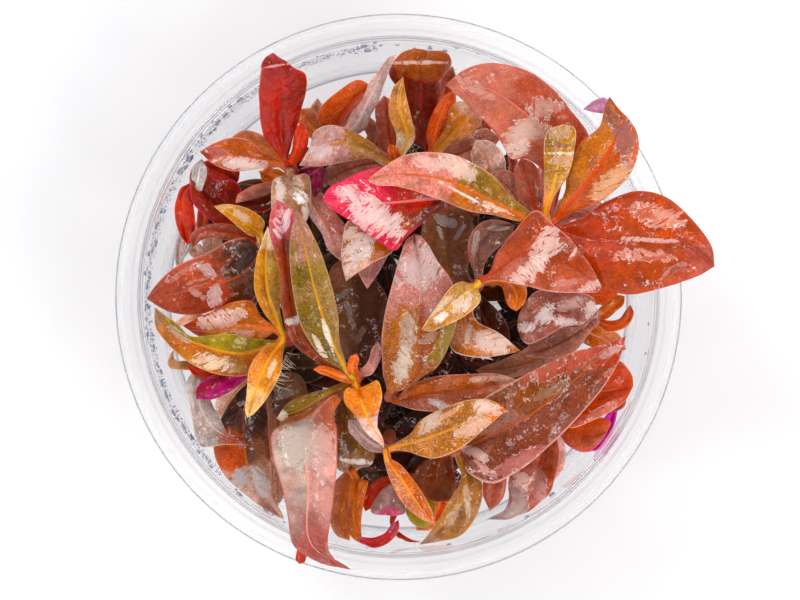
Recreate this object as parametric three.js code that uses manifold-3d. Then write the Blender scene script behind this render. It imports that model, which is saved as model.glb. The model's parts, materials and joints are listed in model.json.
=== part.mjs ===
// Mini Alternanthera reineckii, a red aquarium plant, growing in a clear tissue culture cup.
// Millimetres, +Z up. The origin is the centre of the cup's flat underside.
import * as THREE from "three";
import { mergeVertices } from "three/addons/utils/BufferGeometryUtils.js";
import Module from "manifold-3d";

const wasm = await Module();
wasm.setup();

// Cup: a thin tapered wall, a lip above a wide flange, and a short skirt round it.
const cupHeight = 55;
const cupFloor = 1.4;
const cupWall = 0.8;
const baseInnerRadius = 42.5;
const mouthInnerRadius = 45;
const flangeTop = 51.4;
const flangeStep = 0.7;
const flangeStepRadius = 47;
const flangeRadius = 50;
const flangeThickness = 0.9;
const skirtDrop = 3.6;
const skirtThickness = 0.8;
const lipChamfer = 0.35;
const heelRadius = 1.2;
const cupSides = 44;

// Clear gel that the stems are rooted in.
const gelTop = 13;
const fitGap = 0.3;
const socketGap = 0.85;

// Stems and leaves.
const stemSides = 5;
const stemSteps = 4;
const stemSamples = 200;
const leafThickness = 0.5;
const stalkThickness = 0.95;
const stalkWidth = 1.3;
const stationSpacing = 3.4;
const blade = { most: 7, fewest: 5, facets: 4, camber: 0.14 };
const bladelet = { most: 5, fewest: 4, facets: 2, camber: 0 };
const strandStations = [0.3, 0.6, 0.85];
const lowerLeaf = { most: 4, fewest: 4, facets: 2, camber: 0, slender: 0.46, rise: 1.6 };

const colours = {
  clear: 0xf2f4f8, gel: 0xeef0ea, stem: 0xa8402c, red: 0xb0221a, rust: 0xa8401f, brown: 0x7a3a28,
  pink: 0xe07a78, rose: 0xc98078, orange: 0xd86c1c, amber: 0xd8932c, olive: 0x8a7a24, grey: 0xb4aaa6,
};

function material(colour, roughness = 0.35, opacity = 1) {
  return new THREE.MeshStandardMaterial({
    color: colours[colour], roughness, metalness: 0, opacity, transparent: opacity < 1,
  });
}

function vector(point) {
  return new THREE.Vector3(...point);
}

// A closed mesh with its shared corners merged, as a solid for joining and cutting.
function solidFrom(geometry) {
  const bare = new THREE.BufferGeometry().setAttribute("position", geometry.getAttribute("position").clone());
  if (geometry.index) bare.setIndex(geometry.index.clone());
  const merged = mergeVertices(bare, 1e-4);
  const triVerts = new Uint32Array(merged.index.array);
  return new wasm.Manifold(new wasm.Mesh({
    numProp: 3, vertProperties: merged.attributes.position.array, triVerts,
  }));
}

function geometryFrom(solid) {
  const mesh = solid.getMesh();
  const position = new Float32Array(mesh.numVert * 3);
  for (let i = 0; i < mesh.numVert; i++) {
    position.set(mesh.vertProperties.subarray(i * mesh.numProp, i * mesh.numProp + 3), i * 3);
  }
  return new THREE.BufferGeometry()
    .setAttribute("position", new THREE.BufferAttribute(position, 3))
    .setIndex(new THREE.BufferAttribute(new Uint32Array(mesh.triVerts), 1));
}

// The inside radius of the tapered wall at a height.
function wallRadius(z) {
  const rise = (z - cupFloor) / (cupHeight - cupFloor);
  return baseInnerRadius + (mouthInnerRadius - baseInnerRadius) * rise;
}

function cupGeometry() {
  const outer = (z) => wallRadius(z) + cupWall;
  const under = flangeTop - flangeStep - flangeThickness;
  const skirtBottom = flangeTop - flangeStep - skirtDrop;
  const profile = [
    [0, 0], [outer(0) - heelRadius, 0], [outer(heelRadius), heelRadius],
    [outer(under), under], [flangeRadius - 2 * skirtThickness, under],
    [flangeRadius - skirtThickness, skirtBottom], [flangeRadius, skirtBottom],
    [flangeRadius - lipChamfer, flangeTop - flangeStep],
      [flangeStepRadius + lipChamfer, flangeTop - flangeStep],
    [flangeStepRadius - lipChamfer, flangeTop], [outer(flangeTop) + lipChamfer, flangeTop],
    [outer(cupHeight), cupHeight - lipChamfer], [outer(cupHeight) - lipChamfer, cupHeight],
    [mouthInnerRadius, cupHeight - lipChamfer / 2],
      [wallRadius(cupFloor + heelRadius), cupFloor + heelRadius],
    [baseInnerRadius - heelRadius, cupFloor], [0, cupFloor],
  ];
  return new THREE.LatheGeometry(profile.map(([r, z]) => new THREE.Vector2(r, z)), cupSides)
    .rotateX(Math.PI / 2);
}

// A round stalk along a smooth route, given by the points that it passes through.
function stalkGeometry(route, radius) {
  const section = new THREE.Shape();
  for (let i = 0; i < stemSides; i++) {
    const angle = (i * 2 * Math.PI) / stemSides;
    const corner = [radius * Math.cos(angle), radius * Math.sin(angle)];
    if (i === 0) section.moveTo(...corner);
    else section.lineTo(...corner);
  }
  const extrudePath = new THREE.CatmullRomCurve3(route.map(vector));
  return new THREE.ExtrudeGeometry(section, { steps: stemSteps, bevelEnabled: false, extrudePath });
}

// The gel, with a blind hole for the foot of each stem.
function gelGeometry(stems) {
  const floor = cupFloor + fitGap;
  const corner = baseInnerRadius - heelRadius - fitGap;
  const profile = [
    [0, floor], [corner, floor], [wallRadius(floor + heelRadius) - fitGap, floor + heelRadius],
    [wallRadius(gelTop) - fitGap, gelTop], [0, gelTop],
  ];
  const body = new THREE.LatheGeometry(profile.map(([r, z]) => new THREE.Vector2(r, z)), cupSides)
    .rotateX(Math.PI / 2);
  let gel = solidFrom(body);
  for (const { route, radius } of stems) {
    const [x, y, z] = route[0];
    const hole = stalkGeometry([[x, y, z - socketGap], ...route], radius + socketGap);
    gel = gel.subtract(solidFrom(hole));
  }
  return geometryFrom(gel);
}

// A leaf blade between three curves that share its stalk and its tip: the midrib and the two margins.
// A margin point may leave out its height: it then lies level with the midrib, raised by lift at its middle.
function leafGeometry({ rib, one, two, lift = [0, 0], shape = blade }) {
  const { most, fewest, facets, camber } = shape;
  const ribCurve = new THREE.CatmullRomCurve3(rib.map(vector), false, "centripetal");
  const stations = THREE.MathUtils.clamp(Math.round(ribCurve.getLength() / stationSpacing), fewest, most);
  const start = vector(rib[0]);
  const tip = vector(rib[rib.length - 1]);
  const middle = ribCurve.getPointAt(0.5);
  const along = tip.clone().sub(start).setZ(0).normalize();
  const across = new THREE.Vector3(-along.y, along.x, 0);
  const isLeft = (points) => {
    const [x, y] = points[Math.floor(points.length / 2)];
    return new THREE.Vector3(x, y, 0).sub(middle).dot(across) > 0;
  };
  const [left, right] = isLeft(one) ? [one, two] : [two, one];
  const [leftLift, rightLift] = isLeft(one) ? lift : [lift[1], lift[0]];
  const margin = (points, side, raise) => {
    const first = start.clone().addScaledVector(across, (side * stalkWidth) / 2);
    const inner = points.map(([x, y, z], i) => {
      const u = (i + 1) / (points.length + 1);
      const height = z ?? ribCurve.getPointAt(u).z + raise * Math.sin(Math.PI * u);
      return new THREE.Vector3(x, y, height);
    });
    return new THREE.CatmullRomCurve3([first, ...inner, tip], false, "centripetal");
  };
  const leftCurve = margin(left, 1, leftLift);
  const rightCurve = margin(right, -1, rightLift);

  const positions = [];
  const rings = [];
  for (let s = 0; s < stations; s++) {
    const u = s / stations;
    const a = leftCurve.getPointAt(u);
    const m = ribCurve.getPointAt(u);
    const b = rightCurve.getPointAt(u);
    const forward = ribCurve.getTangentAt(u);
    const thick = leafThickness + (stalkThickness - leafThickness) * (1 - u) ** 6;
    const top = [];
    const under = [];
    for (let f = 1; f < facets; f++) {
      const v = f / facets;
      const [from, to, w] = v < 0.5 ? [a, m, v * 2] : [m, b, v * 2 - 1];
      const chord = v === 0.5 ? b.clone().sub(a) : to.clone().sub(from);
      const normal = forward.clone().cross(chord).negate().normalize();
      if (normal.lengthSq() < 0.5) normal.set(0, 0, 1);
      const bulge = v === 0.5 ? 0 : camber * chord.length() * 4 * w * (1 - w);
      const centre = v === 0.5 ? m.clone() : from.clone().lerp(to, w);
      top.push(centre.clone().addScaledVector(normal, bulge + thick / 2));
      if (v === 0.5) under.push(centre.clone().addScaledVector(normal, -thick / 2));
    }
    const ring = [a, ...top, b, ...under];
    rings.push(ring.map((p) => positions.push(p.x, p.y, p.z) / 3 - 1));
  }
  const tipIndex = positions.push(tip.x, tip.y, tip.z) / 3 - 1;

  const faces = [];
  const size = rings[0].length;
  for (let s = 0; s + 1 < rings.length; s++) {
    for (let i = 0; i < size; i++) {
      const j = (i + 1) % size;
      faces.push(rings[s][i], rings[s][j], rings[s + 1][j], rings[s][i], rings[s + 1][j], rings[s + 1][i]);
    }
  }
  const last = rings[rings.length - 1];
  for (let i = 0; i < size; i++) faces.push(last[i], last[(i + 1) % size], tipIndex);
  for (let i = 1; i + 1 < size; i++) faces.push(rings[0][0], rings[0][i + 1], rings[0][i]);
  const geometry = new THREE.BufferGeometry()
    .setAttribute("position", new THREE.Float32BufferAttribute(positions, 3));
  geometry.setIndex(faces);
  return solidFrom(geometry).volume() > 0 ? geometry : turnedOut(geometry);
}

function turnedOut(geometry) {
  const faces = geometry.index.array;
  for (let i = 0; i < faces.length; i += 3) [faces[i + 1], faces[i + 2]] = [faces[i + 2], faces[i + 1]];
  return geometry;
}

// A narrow leaf or strand: its margins follow the midrib at half of its width.
function strand(rib, width, rise = 0) {
  const curve = new THREE.CatmullRomCurve3(rib.map(vector), false, "centripetal");
  const side = (sign) => strandStations.map((u) => {
    const p = curve.getPointAt(u);
    const t = curve.getTangentAt(u);
    const s = new THREE.Vector3(-t.y, t.x, 0).normalize();
    const half = (sign * width * (1 - 0.5 * Math.max(0, u - 0.5))) / 2;
    return [p.x + s.x * half, p.y + s.y * half, p.z + rise];
  });
  return { rib, one: side(1), two: side(-1), shape: bladelet };
}

// An older leaf low on a stem, given by its height, its compass direction in degrees and its length.
function leafLowOnStem(route, [height, direction, length]) {
  const stem = new THREE.CatmullRomCurve3(route.map(vector));
  const off = (point) => Math.abs(point.z - height);
  const root = stem.getPoints(stemSamples).reduce((a, b) => (off(b) < off(a) ? b : a));
  const angle = THREE.MathUtils.degToRad(direction);
  const out = [Math.cos(angle), Math.sin(angle)];
  const half = (length * lowerLeaf.slender) / 2;
  const place = (along, aside, lift) => [
    root.x + out[0] * along * length - out[1] * aside * half,
    root.y + out[1] * along * length + out[0] * aside * half,
    root.z + lift,
  ];
  const { rise } = lowerLeaf;
  return {
    rib: [place(0, 0, 0), place(0.35, 0, rise), place(0.7, 0, rise * 1.1), place(1, 0, rise * 0.6)],
    one: [place(0.3, 0.8, rise), place(0.55, 1, rise * 1.2), place(0.82, 0.6, rise)],
    two: [place(0.3, -0.8, rise), place(0.55, -1, rise * 1.2), place(0.82, -0.6, rise)],
    shape: lowerLeaf,
  };
}

// Each stem rises from the gel to its crown. Small leaves that grow out of it are part of it.
const shoots = [
  { name: "shoot_centre", radius: 1.5, route: [[-4.5, -11, 7], [-5.6, -12, 25], [-7, -13.5, 45],
    [-7.7, -14.6, 60.3]],
    low: [[19, 60, 13], [31, 120, 13]],
    small: [
      strand([[-7.7, -14.8, 59.6], [-10.5, -13.9, 61], [-13, -12.9, 61], [-14.9, -12.8, 60.4]], 1.7),
      strand([[-7.5, -14.4, 59.6], [-8.1, -12.4, 61.7], [-7.3, -10, 61.6]], 1.9),
      strand([[-6.9, -13.6, 48.5], [-4.7, -12.3, 50.5], [-4, -10, 51], [-3.5, -8, 50.5]], 2),
      { rib: [[-6.8, -13, 42], [-7, -6, 45], [-8, 2, 46], [-9, 7.5, 45]], shape: bladelet,
        one: [[-11.5, -7], [-12.6, 0], [-12, 5]], two: [[-2.8, -7], [-2, 0], [-5.4, 4.4]] },
    ] },
  { name: "shoot_below", radius: 1.4, route: [[-1, -22, 7], [-1.5, -24, 30], [-2.2, -26.9, 54.3]],
    low: [[22, 40, 12], [35, 150, 12]],
    small: [strand([[-2.2, -26.9, 53.4], [-5.2, -25.4, 54], [-8.8, -21.6, 53.8]], 2.8)] },
  { name: "shoot_mid_right", radius: 1.5, route: [[12, -1, 7], [13, 1, 30], [14.3, 2.6, 56.8]],
    low: [[18, 100, 14], [33, 200, 14]],
    small: [
      { rib: [[14.1, 2.4, 50.5], [18.5, 2.8, 53], [20.6, 0.6, 54.8], [20.7, -2.6, 54.6]], shape: bladelet,
        one: [[18, 4.2], [22.3, 2], [22.2, -1]], two: [[17.5, 2], [18.6, 0.5], [19.4, -1.8]] },
      { rib: [[13.2, 1.3, 41], [9.5, 4, 44], [8.6, 10, 46], [9.5, 18, 45]], shape: bladelet,
        one: [[6, 4], [3.8, 10], [5.5, 15.5]], two: [[12.2, 5.5], [13.4, 10], [12.4, 15]] },
      { rib: [[13.6, 1.6, 47.6], [11.8, -3, 51.6], [13, -6.8, 53.4], [17, -8, 54.2], [21.5, -9.5, 53]],
        one: [[13.6, -0.6], [13.6, -4.1], [17.5, -6.3]],
          two: [[10.4, -2], [8.8, -6], [9.4, -9.4], [13.5, -10.7], [18, -10.3]] },
      { rib: [[14.2, 2.6, 49.5], [14, 8, 51.5], [17, 12, 53], [20.3, 12.6, 52.5]], shape: bladelet,
        lift: [1.5, 1.5],
        one: [[12.5, 6.5], [12.2, 10], [14.5, 12.9], [17.5, 13.6]],
          two: [[15.5, 6.5], [18.5, 9.5], [20, 11.2]] },
    ] },
  { name: "shoot_top_right", radius: 1.6, route: [[22, 9, 7], [24, 11, 30], [26.3, 12.6, 58]],
    low: [[21, 250, 12], [36, 330, 12]],
    small: [
      { rib: [[26, 12.4, 51.5], [23.8, 16, 53.5], [22.8, 20, 54.6], [21.5, 24.3, 54.4]], shape: bladelet,
        one: [[21.5, 16], [20.5, 20], [20.3, 22.5]], two: [[25.3, 17], [25.2, 20.5], [23.6, 23.5]] },
      { rib: [[25.8, 12.3, 49], [22, 16, 51], [19.5, 19, 52.2], [16.3, 22, 52.4]], shape: bladelet,
        one: [[20, 14.5], [17.3, 17.5], [16, 20]], two: [[23.5, 17], [21.5, 20.5], [19, 22.3]] },
    ] },
  { name: "shoot_left", radius: 1.4, route: [[-15, -5, 7], [-16.5, -6, 30], [-19.2, -7.6, 46],
    [-20.3, -6.7, 55]],
    low: [[24, 100, 12], [38, 180, 12]],
    small: [] },
  { name: "shoot_low_centre", radius: 1.3, route: [[0, -15, 7], [-0.5, -16, 30], [-1.8, -17.8, 50.5]],
    low: [[27, 340, 13], [37, 30, 13]], small: [] },
  { name: "shoot_upper_left", radius: 1.5, route: [[-15, 17, 7], [-16.5, 19, 30], [-19.3, 23.2, 48.6]],
    low: [[20, 215, 12], [33, 340, 12]],
    small: [
      { rib: [[-19.2, 23.2, 48], [-17.7, 27, 54], [-16.8, 30.6, 55]], shape: bladelet,
        one: [[-18.5, 26.2], [-18.1, 29.6]], two: [[-16.3, 25.5], [-15.8, 28.5]] },
      { rib: [[-18.6, 22.2, 43.4], [-22.5, 18.3, 43.6], [-25.5, 17.2, 43.6], [-28.8, 16.6, 44.6]],
        shape: bladelet, lift: [1, 4],
        one: [[-22.5, 15.8], [-26.5, 15.2]], two: [[-23, 19.9], [-26, 19.6], [-28.2, 18.4]] },
      { rib: [[-18.3, 21.8, 42.5], [-15, 16.5, 47], [-12.3, 11.5, 49.5], [-9.6, 6.2, 49.5]], shape: bladelet,
        one: [[-15.9, 15.5], [-13.2, 10], [-10.8, 6.8]], two: [[-12, 16.5], [-9.5, 12.5], [-8.2, 8.5]] },
      strand([[-18.4, 21.8, 40.5], [-23, 26.5, 40.5], [-26.5, 28.2, 41], [-29.5, 28.4, 41]], 3),
    ] },
  { name: "shoot_upper", radius: 1.4, route: [[0, 20, 7], [-0.2, 22, 30], [-0.3, 24, 48]],
    low: [[25, 272, 12], [34, 100, 11]],
    small: [
      { rib: [[-0.3, 24, 46.8], [1.6, 28, 49.5], [0.2, 33, 51.5], [0.8, 38.7, 52.5]], shape: bladelet,
        one: [[-0.4, 28], [-1.7, 32.5], [-1.1, 36.5]], two: [[2.8, 28], [2.4, 31], [1.3, 35.5]] },
      strand([[-0.4, 24, 46.6], [-0.9, 25.4, 49.4], [-1.5, 26.8, 49.8]], 2),
      strand([[-0.4, 23.8, 43], [-5, 23.6, 45.5], [-9.5, 22.2, 47], [-13.3, 20, 46.5]], 5),
      strand([[-0.3, 23.9, 38], [-1.6, 28, 40], [-2, 32, 41], [-2.6, 35.8, 41]], 4.4),
    ] },
  { name: "shoot_upper_right", radius: 1.4, route: [[7, 20, 7], [6.6, 22, 28], [6, 25.2, 45.5]],
    low: [[18, 345, 11], [30, 40, 12]],
    small: [
      { rib: [[6, 25.2, 44.3], [6.8, 30, 47.5], [8.2, 33.5, 50], [9.6, 36.2, 52]], shape: bladelet,
        one: [[5, 29], [6, 32.5], [8, 35.3]], two: [[7, 28.5], [9, 32], [10.2, 34.8]] },
      { rib: [[6.2, 25.2, 44.8], [9.5, 28.6, 49], [11.8, 31.5, 51], [14, 34, 51.8]], shape: bladelet,
        one: [[7.8, 29.2], [10, 34.2]], two: [[10.6, 27.6], [14.6, 30.6]] },
      { rib: [[6.3, 24.6, 39], [11, 25.5, 43], [14, 26.8, 44.5], [18, 28, 44.5]], shape: bladelet,
        one: [[10, 23.2], [15, 24.3]], two: [[10.5, 28.2], [15.5, 29.8]] },
    ] },
  { name: "shoot_lower_right", radius: 1.4, route: [[7, -22, 7], [8, -24, 30], [9.5, -27.4, 51.5]],
    low: [[24, 100, 13], [34, 262, 10]],
    small: [
      { rib: [[9, -26.6, 43], [7, -30, 44], [7, -33, 44.5], [9.6, -36, 44]], shape: bladelet,
        one: [[3, -30.5], [2.8, -33.5], [6, -36]], two: [[9.5, -29.5], [10.2, -33]] },
    ] },
  { name: "shoot_right", radius: 1.4, route: [[26, -3, 7], [29, -3, 28], [35, -4.2, 48]],
    low: [[20, 190, 13], [29, 260, 12]],
    small: [
      strand([[35, -4.2, 46.8], [38, -5.2, 48], [40.3, -3.8, 48.6], [40.8, -1.4, 49]], 2),
      strand([[34.8, -4, 46], [37, -2.2, 46.6], [39.9, 0.2, 47]], 2.4),
      { rib: [[34.6, -4.2, 46.4], [29.5, -7.6, 48.8], [25.5, -9.4, 48.8], [21.5, -10.5, 48]], shape: bladelet,
        one: [[31, -9.6], [27.5, -10.8]], two: [[32, -5.1], [28, -5.7], [24, -8.1]] },
      { rib: [[32.2, -3.6, 38], [27, -9.5, 42.5], [21, -12.1, 45.3], [13.5, -13, 45.5]], shape: bladelet,
        one: [[29, -11], [23, -13.8], [17.5, -14.2]], two: [[26, -6], [20.5, -10.3], [16, -11.8]] },
    ] },
  { name: "shoot_far_right", radius: 1.4, route: [[22, -19, 7], [24, -20, 28], [28.3, -22.3, 46.5]],
    low: [[17, 240, 12], [32, 120, 13]],
    small: [
      { rib: [[28.2, -22.2, 44.8], [33, -24.1, 46.3], [36.9, -23.6, 46.3]], shape: bladelet,
        one: [[31.5, -21.7], [35.5, -21.2], [37.5, -22]], two: [[29.7, -26], [33.3, -27.4], [35.9, -25.3]] },
      strand([[28, -21.8, 44], [34, -19.6, 45.2], [38, -19.6, 46], [40.3, -17.6, 47.5]], 2.2),
    ] },
  { name: "shoot_far_left", radius: 1.4, route: [[-20, -10, 7], [-22, -12, 28], [-26.3, -13.2, 49.5]],
    low: [[29, 250, 12], [36, 0, 12]],
    small: [
      { rib: [[-26.2, -13.2, 48.6], [-31, -15.4, 51], [-35.6, -18, 51.2]], shape: bladelet,
        one: [[-29.5, -16.5], [-32.5, -18]], two: [[-29, -13.2], [-33, -14], [-35.5, -16]] },
      strand([[-25.6, -12.9, 44.4], [-32, -11.4, 45.4], [-38.5, -12.3, 46.8], [-40.3, -11.3, 47.6],
        [-39.6, -9.4, 48.4]], 2),
      { rib: [[-24.6, -12.8, 41], [-20.5, -16, 45], [-18.5, -19, 46], [-17.5, -23, 45.5]], shape: bladelet,
        one: [[-22, -17], [-22.2, -20.5]], two: [[-17.5, -14], [-15.8, -17.5], [-15.8, -21]] },
    ] },
  { name: "shoot_left_upper", radius: 1.4, route: [[-18, 8, 7], [-21, 9, 28], [-24.3, 9.6, 46.3]],
    low: [[17, 190, 13], [35, 290, 13]],
    small: [strand([[-23.9, 9.6, 43.5], [-30, 11.4, 45], [-35, 11.4, 46], [-36.4, 8.6, 45.2]], 2.8)] },
  { name: "shoot_top_left", radius: 1.3, route: [[-9, 22, 7], [-10.5, 25, 25], [-12.4, 28.2, 42.5]],
    low: [[22, 180, 11], [31, 320, 11]],
    small: [
      strand([[-12.2, 28, 38.5], [-15, 30.5, 39.5], [-17.4, 33.4, 40]], 4),
      { rib: [[-12.2, 28, 41.6], [-8, 29.8, 48], [-5.6, 33.8, 50.6], [-2.6, 40.2, 52.2], [-0.4, 42.6, 53]],
        one: [[-9.6, 30], [-7.4, 33.6], [-4.4, 38.6], [-1.8, 42]],
          two: [[-6, 30], [-4, 33.8], [-2.4, 37.4], [-1.6, 40]] },
    ] },
  { name: "shoot_bottom", radius: 1.3, route: [[3, -29, 7], [1.5, -31, 25], [0.5, -32.5, 41]],
    low: [[19, 340, 12], [30, 200, 11]],
    small: [
      { rib: [[0.4, -32.5, 40], [-1.4, -35, 42], [-1.2, -38.7, 42.5]], shape: bladelet,
        one: [[0.6, -35], [1.2, -38.1]], two: [[-3.3, -34.5], [-4.9, -38]] },
      strand([[0.2, -32.4, 38.5], [-4, -34, 39.5], [-5.9, -37.9, 40]], 2.8),
      { rib: [[0.6, -32.6, 39.6], [3.8, -35.5, 41.5], [4, -38, 42], [4.2, -40.9, 41.5]], shape: bladelet,
        one: [[5.4, -34.5], [6.5, -37.5], [6, -40]], two: [[1.6, -36], [1.3, -38], [2.4, -40]] },
    ] },
  { name: "shoot_wall_left", radius: 1.2, route: [[-31, 11, 7], [-34, 16, 28], [-36.2, 20, 42.5]],
    low: [[27, 20, 11]],
    small: [
      { rib: [[-36.2, 20, 41.6], [-37.9, 18.5, 43.2], [-38, 14, 43.2], [-37.3, 9.2, 41.5]],
        one: [[-36.3, 17.5], [-35.9, 13], [-36.3, 10.4]],
          two: [[-38.4, 19.4], [-39.6, 15.5], [-38.8, 11.3]] },
    ] },
  { name: "shoot_bottom_left", radius: 1.4, route: [[-9, -24, 7], [-9.5, -27, 25], [-8.3, -30.6, 47.5]],
    low: [[17, 200, 12], [25, 300, 11]],
    small: [
      { rib: [[-8.4, -30.6, 46.6], [-8.6, -27, 49.3], [-9.2, -22, 49.5], [-10, -17.6, 48.5]], shape: bladelet,
        one: [[-4.6, -29.3], [-4.5, -25], [-6.5, -20]], two: [[-11, -30], [-11.9, -25], [-11.8, -20.5]] },
      { rib: [[-8.4, -30.4, 44.5], [-10, -35.5, 46.6], [-10.3, -40, 47.6], [-8.6, -43, 48]], shape: bladelet,
        one: [[-8, -34], [-8.4, -37.5], [-8.5, -41]], two: [[-12.3, -34], [-12.2, -39.3], [-11, -42]] },
    ] },
  { name: "shoot_inner", radius: 1.3, route: [[-2.5, 8, 7], [-3, 9.5, 30], [-4.8, 13.2, 51]],
    low: [[23, 10, 13], [39, 230, 12]],
    small: [
      { rib: [[-4.4, 12.6, 48], [-4.6, 7.5, 50.8], [-5.5, 1.3, 51.8]], shape: bladelet,
        one: [[-1.6, 8.5], [-2.8, 5.4], [-4.3, 3]], two: [[-6.5, 9], [-7.1, 4.6]] },
      { rib: [[-4.9, 13.2, 50.2], [-6.5, 10, 53.4], [-8, 6, 54.4], [-9.2, 2.7, 54]], shape: bladelet,
        one: [[-1.5, 12], [-1, 8], [-5, 5.6]], two: [[-8.8, 13.4], [-9.9, 9.5], [-9.9, 5.4]] },
    ] },
  { name: "shoot_inner_right", radius: 1.3, route: [[13, 12, 7], [13.5, 15, 30], [14.3, 17.5, 54.5]],
    low: [[27, 30, 11], [38, 60, 11]],
    small: [
      { rib: [[14.1, 17, 48.6], [16, 21, 50.4], [15.5, 24.5, 51], [13.5, 27.6, 51]], shape: bladelet,
        one: [[13.6, 21], [12.8, 25]], two: [[18.6, 21], [18.4, 25], [16, 27.4]] },
    ] },
];

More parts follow.
